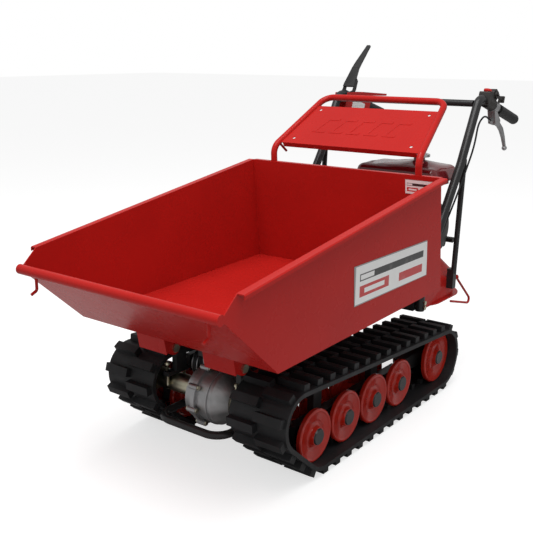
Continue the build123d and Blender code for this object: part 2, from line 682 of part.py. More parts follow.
def chassis_frame():
    """The welded frame: two rails with hinge noses, cross members, legs, cross tubes and outriggers."""
    top = RAIL_BOTTOM + RAIL_HEIGHT
    nose = BUSH_RADIUS + 2
    frame = None
    for side in (1, -1):
        x0 = side * RAIL_X - RAIL_WIDTH / 2
        x1 = side * RAIL_X + RAIL_WIDTH / 2
        rail = hollow_bar(x0, x1, PIVOT_Y + 90, HOUSING_FRONT + 8, RAIL_BOTTOM, top, RAIL_WALL, "y")
        rail += plate([(PIVOT_Y, PIVOT_Z - nose), (PIVOT_Y + 95, RAIL_BOTTOM), (PIVOT_Y + 95, top),
                       (PIVOT_Y, PIVOT_Z + nose - 12)], x0, x1)
        bush_in = BRACKET_IN + BRACKET_SHEET + 1
        bush_out = BRACKET_OUT - BRACKET_SHEET - 1
        rail += rod_x(BUSH_RADIUS, side * bush_in, side * bush_out, PIVOT_Y, PIVOT_Z)
        rail -= rod_x(PIVOT_RADIUS + RUNNING_FIT, side * (bush_in - 1), side * (bush_out + 1), PIVOT_Y, PIVOT_Z)
        for y in CROSS_TUBE_YS:
            leg_x = side * RAIL_X
            rail += block(leg_x - LEG_SIZE / 2, leg_x + LEG_SIZE / 2, y - LEG_SIZE / 2, y + LEG_SIZE / 2,
                          CROSS_TUBE_Z, RAIL_BOTTOM + 1)
        outer_x = HANDLE_X - HANDLE_RADIUS
        rail += block(side * (RAIL_X + RAIL_WIDTH / 2 - 1), side * outer_x, STUB_Y - 20, STUB_Y + 20,
                      STUB_BOTTOM, STUB_BOTTOM + 40)
        for z in STUB_BOLT_ZS:
            rail -= rod_x(4, side * (outer_x - BOLT_BITE), side * (outer_x + 1), STUB_Y, z)
        frame = rail if frame is None else frame + rail
    end_x = TRACK_CENTRE_X + BEAM_WIDTH / 2 - 5
    for y in CROSS_TUBE_YS:
        frame += rod_x(CROSS_TUBE_RADIUS, -end_x, end_x, y, CROSS_TUBE_Z)
    inner = RAIL_X - RAIL_WIDTH / 2
    frame += block(-inner - 1, inner + 1, POST_FRONT, POST_FRONT + 44, top - 32, top)
    frame += block(POST_X - POST_HALF, POST_X + POST_HALF, POST_FRONT, POST_FRONT + 44, POST_BOTTOM, top - 31)
    frame += block(-inner - 1, inner + 1, ARM_PIVOT[0] + 30, ARM_PIVOT[0] + 46, RAIL_BOTTOM + 18, RAIL_BOTTOM + 36)
    pin_x = FINAL_BELT_X + 8
    frame += rod_x(6, pin_x, inner + 1, *ARM_PIVOT)
    for side in (1, -1):
        saddle_low = SPROCKET_Z + AXLE_TUBE_RADIUS
        frame += block(side * (SADDLE_X - 11), side * (SADDLE_X + 9), SPROCKET_Y - 42, SPROCKET_Y + 42,
                       saddle_low, saddle_low + 12)
        frame += block(side * (RAIL_X + 2), side * (RAIL_X + 18), SPROCKET_Y - 16, SPROCKET_Y + 26,
                       saddle_low + 11, RAIL_BOTTOM + 12)
    for _, side in SIDES:
        for dy in (-1, 1):
            y = SPROCKET_Y + dy * (AXLE_TUBE_RADIUS + 7)
            frame -= Pos(side * SADDLE_X, y, SPROCKET_Z + 34) * Cylinder(4, 68)
    return frame


def front_bumper():
    """The bent tube that guards the gearbox, welded to the front cross tube."""
    back = CROSS_TUBE_YS[0] - CROSS_TUBE_RADIUS - 8
    points = []
    for x in (-BUMPER_HALF, BUMPER_HALF):
        ends = [(x, back, CROSS_TUBE_Z - 8), (x, back - 90, BUMPER_Z), (x, BUMPER_Y, BUMPER_Z)]
        points += ends if x < 0 else ends[::-1]
    tube = bent_tube(points, 50, BUMPER_RADIUS, TUBE_WALL)
    for x in (-BUMPER_HALF, BUMPER_HALF):
        tube += block(x - 13, x + 13, back - 2, back + 8, CROSS_TUBE_Z - 22, CROSS_TUBE_Z)
    return tube


def rest_pads():
    """Rubber pads on the rails that carry the rear of the bucket."""
    pads = []
    for side in (1, -1):
        y0 = REAR_FLOOR_Y - 66
        y1 = REAR_FLOOR_Y - 30
        top = RAIL_BOTTOM + RAIL_HEIGHT
        points = [(y0, top), (y1, top), (y1, floor_bottom(y1) - CLEARANCE), (y0, floor_bottom(y0) - CLEARANCE)]
        pads.append(plate(points, side * RAIL_X - 15, side * RAIL_X + 15))
    return Compound(pads)


def housing_solid(inset, bottom):
    """The rear housing's outline solid: straight walls and a sloped shoulder."""
    half = HOUSING_HALF - inset
    length = HOUSING_REAR - HOUSING_FRONT - 2 * inset
    plan = RectangleRounded(2 * half, length, HOUSING_CORNER - inset)
    square = Pos(0, -length / 4) * Rectangle(2 * half, length / 2)
    plan = Pos(0, (HOUSING_FRONT + HOUSING_REAR) / 2) * (plan + square)
    rise = HOUSING_TOP - HOUSING_SHOULDER
    walls = extrude(Pos(0, 0, bottom) * plan, amount=HOUSING_SHOULDER - bottom - inset / 2)
    top_face = Pos(0, 0, HOUSING_SHOULDER - inset / 2) * plan
    return walls + extrude(top_face, amount=rise - inset / 2, taper=45)


def rear_housing():
    """The red sheet housing that carries the engine and covers the countershaft."""
    wall = 4.0
    shell = housing_solid(0, HOUSING_BOTTOM)
    plan = RectangleRounded(2 * (HOUSING_HALF + HOUSING_FLANGE), HOUSING_REAR - HOUSING_FRONT + HOUSING_FLANGE,
                            HOUSING_CORNER)
    shell += extrude(Pos(0, (HOUSING_FRONT + HOUSING_REAR + HOUSING_FLANGE) / 2, HOUSING_BOTTOM) * plan, amount=wall)
    shell -= housing_solid(wall, HOUSING_BOTTOM - 1)
    rail_top = RAIL_BOTTOM + RAIL_HEIGHT
    for side in (1, -1):
        x0 = side * RAIL_X - RAIL_WIDTH / 2
        shell -= block(x0, x0 + RAIL_WIDTH, HOUSING_FRONT - 20, HOUSING_FRONT + 20, HOUSING_BOTTOM - 20, rail_top)
    reach = PULLEY_WIDTH + 8
    shell -= block(FINAL_BELT_X - reach / 2, FINAL_BELT_X + reach / 2, HOUSING_FRONT - 20, HOUSING_FRONT + 42,
                   HOUSING_BOTTOM - 5, COUNTER_Z + COUNTER_SMALL_RADIUS + 6)
    shell -= block(PRIMARY_BELT_X - reach / 2, PRIMARY_BELT_X + reach / 2, COUNTER_Y - 60, CRANK_Y + 42,
                   HOUSING_SHOULDER, HOUSING_TOP + 5)
    for x in (COUNTER_BEARING_X[0], COUNTER_BEARING_X[1] - 12):
        bearing = block(x, x + 12, COUNTER_Y - 18, COUNTER_Y + 18, COUNTER_Z - 18, HOUSING_TOP - wall + 1)
        shell += bearing - rod_x(SHAFT_RADIUS - 5 + RUNNING_FIT, x - 1, x + 13, COUNTER_Y, COUNTER_Z)
    return shell + rod_x(4, HOUSING_HALF - 1, HOUSING_HALF + 22, *LOOP_EYE)


# ---- engine -------------------------------------------------------------------------------
def engine_block():
    """The crankcase with its feet and the finned cylinder that leans back from it."""
    x0, x1 = ENGINE_X
    base = HOUSING_TOP
    case = block(x0, x1, CRANK_Y - 80, CRANK_Y + 85, base + 14, CRANK_Z + 70)
    case += block(x0 + 10, x1 - 10, CRANK_Y - 95, CRANK_Y + 95, base, base + 16)
    case -= rod_x(SHAFT_RADIUS - 5 + RUNNING_FIT, x0 - 1, x0 + 24, CRANK_Y, CRANK_Z)
    middle = (x0 + x1) / 2
    barrel = block(middle - 39, middle + 39, -42, 42, 0, CYLINDER_REACH)
    for i in range(FIN_COUNT):
        low = FIRST_FIN + i * FIN_PITCH
        barrel += block(middle - 56, middle + 56, -FIN_HALF, FIN_HALF, low, low + FIN_THICKNESS)
    return case + on_cylinder() * barrel


def on_cylinder():
    """A placement with local Z along the cylinder, which leans back, and local Y down from it."""
    return Pos(0, CRANK_Y + 20, CRANK_Z) * Rot(-(90 - CYLINDER_TILT), 0, 0)


def recoil_housing():
    """The round starter cover on the engine's left, with the guide for the rope."""
    x0 = ENGINE_X[1]
    cover = turned([(x0, 0), (x0, RECOIL_RADIUS), (x0 + 34, RECOIL_RADIUS - 4), (x0 + 58, RECOIL_RADIUS - 22),
                    (x0 + 62, RECOIL_RADIUS - 52), (x0 + 62, 0)], CRANK_Y, CRANK_Z)
    guide = rod_x(13, x0 + 20, x0 + 46, *ROPE_GUIDE)
    cover += guide
    return cover - rod(on_rope(-60), on_rope(60), 3.5)


def on_rope(along):
    """A point on the starter rope's line, measured out from its guide."""
    return (ROPE_X, ROPE_GUIDE[0] + along * ROPE_AIM[1], ROPE_GUIDE[1] + along * ROPE_AIM[2])


def recoil_handle():
    """The starter's pull grip with the end of its rope."""
    end = on_rope(26)
    rope = rod(on_rope(-45), end, 2.5)
    grip = Box(70, 20, 16)
    grip = fillet(grip.edges().filter_by(Axis.X), 6)
    tilt = atan2(ROPE_AIM[2], ROPE_AIM[1]) * 180 / pi
    return rope + Pos(*end) * Rot(tilt, 0, 0) * grip


def fuel_tank():
    """The red fuel tank over the crankcase, with a filler neck and two feet."""
    x0 = TANK_CENTRE_X - TANK_WIDTH / 2
    body = block(x0, x0 + TANK_WIDTH, TANK_FRONT, TANK_FRONT + TANK_DEPTH, TANK_BOTTOM, TANK_TOP - 8)
    body = fillet(body.edges().filter_by(Axis.Z), TANK_CORNER)
    body = fillet(body.faces().sort_by(Axis.Z)[-1].edges(), 18)
    body += Pos(CAP_X, CAP_Y, TANK_TOP - 10) * Cylinder(20, 24)
    for x in (ENGINE_X[0] + 30, ENGINE_X[1] - 30):
        body += block(x - 12, x + 12, CRANK_Y - 60, CRANK_Y + 20, CRANK_Z + 70, TANK_BOTTOM + 1)
    return body


def fuel_cap():
    """The plated filler cap."""
    return Pos(CAP_X, CAP_Y, TANK_TOP + 6.8) * (Cylinder(30, 9) + Pos(0, 0, 5) * Cylinder(22, 4))


def neck(x):
    """A square port that stands on the cylinder's fins."""
    return on_cylinder() * block(x - NECK_HALF, x + NECK_HALF, -FIN_HALF - 40, -FIN_HALF, 96, 126)


def muffler():
    """The exhaust box in its guard, above the cylinder."""
    x0 = ENGINE_X[0] - 8
    body = block(x0, x0 + 88, POD_FRONT, POD_FRONT + 106, POD_BOTTOM, POD_BOTTOM + 62)
    body = fillet(body.edges().filter_by(Axis.X), 16)
    return body + neck(x0 + 62)


def air_cleaner():
    """The air cleaner beside the exhaust."""
    x1 = ENGINE_X[1] + 8
    body = block(x1 - 96, x1, POD_FRONT, POD_FRONT + 96, POD_BOTTOM, POD_BOTTOM + 66)
    body = fillet(body.edges().filter_by(Axis.Z), 18)
    return body + neck(x1 - 76)


# ---- bucket -------------------------------------------------------------------------------
def floor_bottom(y):
    """Height of the bucket floor's underside."""
    share = (y - FRONT_FLOOR_Y) / (REAR_FLOOR_Y - FRONT_FLOOR_Y)
    return FRONT_FLOOR_Z + share * (REAR_FLOOR_Z - FRONT_FLOOR_Z)


def bucket_plan(inset):
    """The bucket seen from above, a little wider at the rear."""
    overrun = 60.0
    slope = (BUCKET_HALF_REAR - BUCKET_HALF_FRONT) / (REAR_FLOOR_Y - LIP_Y)
    front = BUCKET_HALF_FRONT - slope * overrun - inset
    rear = BUCKET_HALF_REAR + slope * overrun - inset
    y0 = LIP_Y - overrun
    y1 = REAR_FLOOR_Y + overrun
    return make_face(Polyline((-front, y0), (front, y0), (rear, y1), (-rear, y1), close=True))


def bucket_shell():
    """The open skip: floor, front slope, rear wall, two sides, folded rims, rolled lip and lip hooks."""
    outline = [(LIP_Y, LIP_Z), (RIM_FRONT_Y, RIM_FRONT_Z), (REAR_TOP_Y, REAR_TOP_Z),
               (REAR_FLOOR_Y, REAR_FLOOR_Z), (FRONT_FLOOR_Y, FRONT_FLOOR_Z)]
    high = REAR_TOP_Z + 300
    outer = plate(outline, -500, 500) & extrude(bucket_plan(0), amount=2000)
    slope_up = atan2(LIP_Z - FRONT_FLOOR_Z, FRONT_FLOOR_Y - LIP_Y)
    lean = atan2(REAR_FLOOR_Y - REAR_TOP_Y, REAR_TOP_Z - REAR_FLOOR_Z)
    inside = [
        (LIP_Y - 80 + SHEET, LIP_Z + (LIP_Z - FRONT_FLOOR_Z) / (FRONT_FLOOR_Y - LIP_Y) * 80),
        (LIP_Y - 80, high),
        (REAR_TOP_Y - SHEET - (high - REAR_TOP_Z) * sin(lean) / cos(lean), high),
        (REAR_FLOOR_Y - SHEET * 1.1, REAR_FLOOR_Z + SHEET),
        (FRONT_FLOOR_Y + SHEET * sin(slope_up) / (1 + cos(slope_up)), FRONT_FLOOR_Z + SHEET),
    ]
    shell = outer - (plate(inside, -500, 500) & extrude(bucket_plan(SHEET), amount=2000))
    rims = None
    for side in (1, -1):
        rim = bucket_rim()
        rims = mirrored(rim, side) if rims is None else rims + mirrored(rim, side)
    shell += rims
    shell += rod_x(LIP_RADIUS, -BUCKET_HALF_FRONT, BUCKET_HALF_FRONT, LIP_Y, LIP_Z)
    top = RIM_WIDTH - 4
    shell += block(-BUCKET_HALF_REAR + 4, BUCKET_HALF_REAR - 4, REAR_TOP_Y - 1, REAR_TOP_Y + top,
                   REAR_TOP_Z - SHEET, REAR_TOP_Z)
    notch = HOOP_RADIUS + 1
    for side in (1, -1):
        x = side * HOOP_HALF_FOOT
        shell -= block(x - notch, x + notch, REAR_TOP_Y, REAR_TOP_Y + 2 * RIM_WIDTH, REAR_TOP_Z - 10, REAR_TOP_Z + 1)
        hook = bent_tube([(side * 290, LIP_Y + 14, LIP_Z - 16), (side * 290, LIP_Y + 14, LIP_Z - 52),
                          (side * 290, LIP_Y - 4, LIP_Z - 60)], 8, ROD_RADIUS)
        shell += hook
        shell += rod((side * 290, LIP_Y + 14, LIP_Z - 2), (side * 290, LIP_Y + 14, LIP_Z - 18), ROD_RADIUS)
    return shell


def bucket_rim():
    """The folded rim along the top of one side: a flat out and a flange down."""
    slope = (BUCKET_HALF_REAR - BUCKET_HALF_FRONT) / (REAR_FLOOR_Y - LIP_Y)
    half_front = BUCKET_HALF_FRONT + slope * (RIM_FRONT_Y - LIP_Y)
    half_rear = BUCKET_HALF_FRONT + slope * (REAR_TOP_Y - LIP_Y)
    section = [(-SHEET, 0), (RIM_WIDTH - 3, 0), (RIM_WIDTH, -3), (RIM_WIDTH, -RIM_DROP),
               (RIM_WIDTH - SHEET, -RIM_DROP), (RIM_WIDTH - SHEET, -SHEET), (-SHEET, -SHEET)]
    ends = []
    for half, y, z in ((half_front, RIM_FRONT_Y, RIM_FRONT_Z), (half_rear, REAR_TOP_Y, REAR_TOP_Z)):
        place = Plane(origin=(half, y, z), x_dir=(1, 0, 0), z_dir=(0, -1, 0))
        ends.append(place * make_face(Polyline(*section, close=True)))
    return loft(ends)


def hinge_brackets():
    """Two channels under the bucket, each with a front web and two ears for the pivot bolt."""
    brackets = []
    y_front = PIVOT_Y - 46
    y_rear = PIVOT_Y + 46
    radius = 20.0
    for side in (1, -1):
        x0 = BRACKET_IN
        x1 = BRACKET_OUT
        ears = []
        for x in (x0, x1 - BRACKET_SHEET):
            ear = plate([(y_front, floor_bottom(y_front)), (y_rear, floor_bottom(y_rear)),
                         (PIVOT_Y + 17, PIVOT_Z - 12), (PIVOT_Y - 12, PIVOT_Z - 17), (PIVOT_Y - 30, PIVOT_Z - 6)],
                        x, x + BRACKET_SHEET)
            ear += rod_x(radius, x, x + BRACKET_SHEET, PIVOT_Y, PIVOT_Z)
            ear -= rod_x(PIVOT_RADIUS, x - 1, x + BRACKET_SHEET + 1, PIVOT_Y, PIVOT_Z)
            ears.append(ear)
        web = plate([(y_front, floor_bottom(y_front)), (y_front + 7, floor_bottom(y_front + 7)),
                     (PIVOT_Y - 27, PIVOT_Z - 8), (PIVOT_Y - 32, PIVOT_Z - 12)], x0, x1)
        bracket = ears[0] + ears[1] + web
        brackets.append(mirrored(bracket, side))
    return Compound(brackets)


def hinge_bolts():
    """The pivot bolts of the two brackets."""
    pins = []
    for side in (1, -1):
        low, high = sorted((side * BRACKET_IN, side * BRACKET_OUT))
        pins.append(hex_bolt(low, high, PIVOT_Y, PIVOT_Z, PIVOT_RADIUS, 13))
    return Compound(pins)


def hoop_lean(z):
    """Y of the guard hoop's plane at a height above its bends."""
    foot_y = REAR_TOP_Y + HOOP_RADIUS
    return foot_y + (HOOP_TOP_Y - foot_y) * (z - HOOP_BEND_Z) / (HOOP_TOP_Z - HOOP_BEND_Z)


def guard_hoop():
    """The bent tube that stands on the bucket's rear wall and leans back, with two rope hooks."""
    foot_y = REAR_TOP_Y + HOOP_RADIUS
    foot_z = REAR_TOP_Z - 60
    wall_y = REAR_TOP_Y + 60 * (REAR_FLOOR_Y - REAR_TOP_Y) / (REAR_TOP_Z - REAR_FLOOR_Z)
    left = [(HOOP_HALF_FOOT, wall_y + HOOP_RADIUS + CLEARANCE, foot_z), (HOOP_HALF_FOOT, foot_y, HOOP_BEND_Z),
            (HOOP_HALF_TOP, HOOP_TOP_Y, HOOP_TOP_Z)]
    right = [(-x, y, z) for x, y, z in reversed(left)]
    hoop = bent_tube(left + right, 42, HOOP_RADIUS, TUBE_WALL)
    for side in (1, -1):
        z = HOOP_BEND_Z + 12
        x = side * (HOOP_HALF_FOOT - 8)
        hoop += rod((x, hoop_lean(z), z), (x - side * 6, hoop_lean(z) + 34, z - 30), ROD_RADIUS)
    return hoop


def guard_panel():
    """The sheet panel in the hoop, with four holes and a folded lower edge."""
    thickness = 2.5
    corners = []
    for z in (PANEL_LOW_Z, PANEL_HIGH_Z):
        share = (z - HOOP_BEND_Z) / (HOOP_TOP_Z - HOOP_BEND_Z)
        half = HOOP_HALF_FOOT + (HOOP_HALF_TOP - HOOP_HALF_FOOT) * share - HOOP_RADIUS - 2 * CLEARANCE
        corners.append((half, z))
    foot_y = REAR_TOP_Y + HOOP_RADIUS
    rise = HOOP_TOP_Z - HOOP_BEND_Z
    run = HOOP_TOP_Y - foot_y
    length = hypot(rise, run)
    face_plane = Plane(origin=(0, foot_y, HOOP_BEND_Z), x_dir=(1, 0, 0), z_dir=(0, -rise, run))
    low = (PANEL_LOW_Z - HOOP_BEND_Z) * length / rise
    high = (PANEL_HIGH_Z - HOOP_BEND_Z) * length / rise
    half_low = corners[0][0]
    half_high = corners[1][0]
    sheet = make_face(Polyline((-half_low, low), (half_low, low), (half_high, high), (-half_high, high), close=True))
    for x, y in ((half_low - 36, low + 28), (half_high - 20, high - 22)):
        for side in (1, -1):
            sheet -= Pos(side * x, y) * Circle(5)
    panel = extrude(face_plane * sheet, amount=thickness / 2, both=True)
    edge = half_low - 6
    fold = make_face(Polyline((-edge, low), (edge, low), (edge, low + thickness), (-edge, low + thickness), close=True))
    return panel + extrude(face_plane * fold, amount=-16)


# ---- handlebars and controls --------------------------------------------------------------
HANDLE_REACH = hypot(HANDLE_END[0] - HANDLE_BEND[0], HANDLE_END[1] - HANDLE_BEND[1])
HANDLE_AIM = ((HANDLE_END[0] - HANDLE_BEND[0]) / HANDLE_REACH, (HANDLE_END[1] - HANDLE_BEND[1]) / HANDLE_REACH)
HANDLE_TILT = atan2(HANDLE_AIM[1], HANDLE_AIM[0]) * 180 / pi


def on_handle(along, up):
    """A point (y, z) beside the handle's upper run: along it from the bend, and up from its axis."""
    return (HANDLE_BEND[0] + along * HANDLE_AIM[0] - up * HANDLE_AIM[1],
            HANDLE_BEND[1] + along * HANDLE_AIM[1] + up * HANDLE_AIM[0])


def at_handle(x, along, up):
    """A placement on the handle's upper run, with local Y along the handle and local Z up from it."""
    return Pos(x, *on_handle(along, up)) * Rot(HANDLE_TILT, 0, 0)


def handle_route():
    """The corners of the left handle tube's axis."""
    corners = [(STUB_Y, STUB_BOTTOM), (STUB_Y, STUB_TOP), HANDLE_KNEE, HANDLE_BEND, HANDLE_END]
    return [(HANDLE_X, *corner) for corner in corners]


def handlebar():
    """The left handle tube, bent from the outrigger up to the grip's end."""
    tube = bent_tube(handle_route(), HANDLE_BENDS, HANDLE_RADIUS, TUBE_WALL)
    for z in STUB_BOLT_ZS:
        tube -= rod_x(4, HANDLE_X - 30, HANDLE_X + 30, STUB_Y, z)
    return tube


def grip():
    """The rubber grip over the end of the left handle, closed at its end."""
    x = HANDLE_X
    start = (x, *on_handle(HANDLE_REACH + 6 - GRIP_LENGTH, 0))
    cover = rod(start, (x, *on_handle(HANDLE_REACH + 6, 0)), GRIP_RADIUS)
    return cover - rod(start, (x, *HANDLE_END), HANDLE_RADIUS)


def cross_bar():
    """The tube welded between the two handles."""
    inner = HANDLE_X - HANDLE_RADIUS
    bar = rod_x(CROSS_BAR_RADIUS, -inner, inner, CROSS_BAR_Y, CROSS_BAR_Z)
    return bar - rod_x(CROSS_BAR_RADIUS - TUBE_WALL, -inner - 1, inner + 1, CROSS_BAR_Y, CROSS_BAR_Z)


def braces():
    """Struts from the housing up to the handles, each with its lower clevis."""
    group = []
    low = BRACE_LOW
    tube = bent_tube(handle_route(), HANDLE_BENDS, HANDLE_RADIUS)
    for side in (1, -1):
        strut = rod((HANDLE_X, *low), (HANDLE_X, *BRACE_HIGH), BRACE_RADIUS) - tube
        strut += block(HOUSING_HALF, HANDLE_X + 5, low[0] - 12, low[0] + 12, HOUSING_SHOULDER - 34, low[1] + 16)
        group.append(mirrored(strut, side))
    return Compound(group)


def clamp(x, along, length, radius):
    """A collar round the handle tube."""
    collar = rod((x, *on_handle(along, 0)), (x, *on_handle(along + length, 0)), radius)
    return collar - rod((x, *on_handle(along - 1, 0)), (x, *on_handle(along + length + 1, 0)), HANDLE_RADIUS)


def lever_perches():
    """The cast clamps that carry the steering levers under the handles, with the cable adjusters."""
    group = []
    slot = 5.0
    for side in (1, -1):
        perch = clamp(HANDLE_X, PERCH_ALONG, 30, HANDLE_RADIUS + 6)
        top = on_handle(PERCH_ALONG + 4, -HANDLE_RADIUS - 2)
        back = on_handle(PERCH_ALONG + 30, -HANDLE_RADIUS - 2)
        body = plate([top, back, (LEVER_PIVOT[0] + 12, LEVER_PIVOT[1] + 6), (LEVER_PIVOT[0] + 8, LEVER_PIVOT[1] - 12),
                      (LEVER_PIVOT[0] - 30, LEVER_PIVOT[1] - 4)], HANDLE_X - 13, HANDLE_X + 13)
        body -= block(HANDLE_X - slot, HANDLE_X + slot, LEVER_PIVOT[0] - 22, LEVER_PIVOT[0] + 60,
                      LEVER_PIVOT[1] - 40, LEVER_PIVOT[1] + 16)
        perch += body + rod_x(4, HANDLE_X - 13, HANDLE_X + 13, *LEVER_PIVOT)
        start = Vector(*CABLE[0])
        perch += rod(start + (start - Vector(*CABLE[1])).normalized() * 26, start, 6)
        group.append(mirrored(perch, side))
    return Compound(group)


def steering_lever(side):
    """A cast lever with a ball end, hung under the handle."""
    y, z = LEVER_PIVOT
    half = 5.0 - CLEARANCE - 0.2
    outline = [(y - 9, z + 6), (y + 4, z + 9), (y + 32, z - 4), (y + 64, z - 24), (y + 86, z - 54), (y + 104, z - 92),
               (y + 97, z - 96), (y + 74, z - 62), (y + 48, z - 34), (y + 22, z - 17), (y - 4, z - 9)]
    lever = plate(outline, HANDLE_X - half, HANDLE_X + half)
    lever -= rod_x(4 + RUNNING_FIT, HANDLE_X - 10, HANDLE_X + 10, y, z)
    lever += Pos(HANDLE_X, y + 102, z - 98) * Sphere(9)
    return mirrored(lever, side)


CABLE_X = HANDLE_X + BRACE_RADIUS + CABLE_RADIUS + 1
CABLE = [(HANDLE_X, 648.0, 866.0), (HANDLE_X, 598.0, 885.0), (HANDLE_X + 3, 544.0, 862.0), (CABLE_X, 500.0, 790.0),
         (CABLE_X, 400.0, 652.0), (HANDLE_X - 4, 240.0, 423.0), (HANDLE_X - 28, 226.0, 340.0),
         (HANDLE_X - 28, HOUSING_FRONT - CLEARANCE, 338.0)]


def cable_radii(points):
    """Bend radii as large as the runs beside each point allow."""
    radii = []
    for before, point, after in zip(points, points[1:], points[2:]):
        first = Vector(*point) - Vector(*before)
        second = Vector(*after) - Vector(*point)
        half_turn = radians(first.get_angle(second)) / 2
        radii.append(0.45 * min(first.length, second.length) / (sin(half_turn) / cos(half_turn)))
    return radii


def cables():
    """The steering cables, clipped down the handles into the housing."""
    radii = cable_radii(CABLE)
    print("cable bend radii", [round(r) for r in radii])
    path = FilletPolyline(*CABLE, radius=radii)
    cable = sweep(Plane(origin=path @ 0, z_dir=path % 0) * Circle(CABLE_RADIUS), path=path)
    print("cable volume", round(cable.volume), "section times length", round(pi * CABLE_RADIUS ** 2 * path.length))
    return Compound([mirrored(cable, side) for side in (1, -1)])


def switch_housing():
    """The stop switch's housing on the left handle."""
    housing = at_handle(HANDLE_X, BUTTON_ALONG, 8) * Box(38, 42, 44)
    housing = fillet(housing.edges().filter_by(Axis.X), 6)
    housing += throttle_mount()
    housing -= at_handle(HANDLE_X, BUTTON_ALONG, 0) * Rot(90, 0, 0) * Cylinder(HANDLE_RADIUS, 200)
    return housing - at_handle(HANDLE_X, BUTTON_ALONG, 26) * Cylinder(BUTTON_RADIUS - 3 + CLEARANCE, 12)


def stop_button():
    """The red stop button: a cap over a stem in the housing."""
    cap = at_handle(HANDLE_X, BUTTON_ALONG, 30 + BUTTON_TRAVEL + CLEARANCE + 4) * Cylinder(BUTTON_RADIUS, 8)
    stem = at_handle(HANDLE_X, BUTTON_ALONG, 28.5) * Cylinder(BUTTON_RADIUS - 3, 10)
    return cap + stem


def throttle_mount():
    """The round throttle body behind the switch, moulded in one with its collar."""
    start = BUTTON_ALONG
    body = clamp(HANDLE_X, start, THROTTLE_ALONG + 14 - start, HANDLE_RADIUS + 6)
    dome = at_handle(HANDLE_X + 8, THROTTLE_ALONG, 30) * Rot(0, 90, 0) * Cylinder(20, 18)
    pin = at_handle(HANDLE_X + 8 + 9 + 5, THROTTLE_ALONG, 30) * Rot(0, 90, 0) * Cylinder(4, 12)
    return body + dome + pin


def throttle_lever():
    """The thumb lever of the throttle, with its broad end."""
    x = HANDLE_X + 8 + 9 + CLEARANCE + 3
    boss = at_handle(x, THROTTLE_ALONG, 30) * Rot(0, 90, 0) * Cylinder(13, 6)
    arm = at_handle(x, THROTTLE_ALONG + 30, 28) * Box(6, 44, 10)
    thumb = at_handle(x - 4, THROTTLE_ALONG + 55, 28) * Box(20, 9, 22)
    bore = at_handle(x, THROTTLE_ALONG, 30) * Rot(0, 90, 0) * Cylinder(4 + RUNNING_FIT, 12)
    return boss + arm + thumb - bore


DRIVE_PIVOT = on_handle(44, 4)
DRIVE_HALF = HANDLE_RADIUS + 9


def drive_bracket():
    """The collar on the right handle with the pivot pin of the drive lever and the red lever."""
    x = -HANDLE_X
    collar = clamp(x, 30, 28, HANDLE_RADIUS + 5)
    for _, side in SIDES:
        start = x + side * (HANDLE_RADIUS + 2)
        collar += rod_x(6, start, x + side * (DRIVE_HALF + 0.5), *DRIVE_PIVOT)
    return collar


def drive_lever():
    """The tall pressed-steel lever: two ears over the handle, closing to a long tapered blade."""
    x = -HANDLE_X
    y, z = DRIVE_PIVOT
    ear_thickness = 3.0
    lever = None
    for _, side in SIDES:
        inner = x + side * (DRIVE_HALF - ear_thickness)
        ear = plate([(y - 12, z - 8), (y + 8, z - 12), (y + 36, z + 14), (y + 48, z + 46), (y + 40, z + 56),
                     (y + 27, z + 38), (y + 12, z + 14), (y - 6, z + 10)], inner, inner + side * ear_thickness)
        ear -= rod_x(6 + RUNNING_FIT, inner - 5, inner + 5, y, z)
        lever = ear if lever is None else lever + ear
    spine = [(y + 20, z + 27, DRIVE_HALF), (y + 27, z + 38, DRIVE_HALF - 1), (y + 66, z + 92, 14.5),
             (y + 87, z + 112, 13), (y + 157, z + 173, 7)]
    for (y0, z0, half0), (y1, z1, half1) in zip(spine, spine[1:]):
        outline = Polyline((x - half0, 0), (x + half0, 0), (x + half1, 1), (x - half1, 1), close=True)
        run = hypot(y1 - y0, z1 - z0)
        stretched = [(vertex.X, vertex.Y * run) for vertex in outline.vertices()]
        face_plane = Plane(origin=(0, y0, z0), x_dir=(1, 0, 0), z_dir=(0, -(z1 - z0), y1 - y0))
        blade = extrude(face_plane * make_face(Polyline(*stretched, close=True)), amount=4, both=True)
        lever += blade
    return lever


RED_PIVOT = on_handle(128, 28)
COVER_IN = DRIVE_HALF + 1        # inside of the cover's plates from the handle's axis
COVER_SHEET = 3.0


def red_lever():
    """The red hold-to-run lever over the right grip, a channel open below."""
    sheet = 2.5
    half = 17.0
    end = HANDLE_REACH - 11
    top = [(118, 31), (140, 36), (end, 72)]
    under = [(end, 64), (190, 34), (134, 20), (118, 20)]
    channel = [on_handle(*place) for place in top + under]
    hollow = [on_handle(along, up - sheet) for along, up in top]
    hollow += [on_handle(end, 40), on_handle(118, 0)]
    lever = plate(channel, -HANDLE_X - half, -HANDLE_X + half)
    lever -= plate(hollow, -HANDLE_X - half + sheet, -HANDLE_X + half - sheet)
    return lever - rod_x(5 + RUNNING_FIT, -HANDLE_X - 20, -HANDLE_X + 20, *RED_PIVOT)


def control_box():
    """The red cover round the right handle: two side plates, a bracket on the tube and a pivot pin."""
    outline = [on_handle(16, -50), on_handle(188, -34), on_handle(188, 40), on_handle(74, 20), on_handle(16, 4)]
    box = at_handle(-HANDLE_X, 157.5, -1) * Box(2 * COVER_IN + 2, 3, 38)
    box -= at_handle(-HANDLE_X, 157.5, 0) * Rot(90, 0, 0) * Cylinder(HANDLE_RADIUS, 20)
    for _, side in SIDES:
        start = -HANDLE_X + side * COVER_IN
        box += plate(outline, start, start + side * COVER_SHEET)
    return box + rod_x(5, -HANDLE_X - COVER_IN, -HANDLE_X + COVER_IN, *RED_PIVOT)


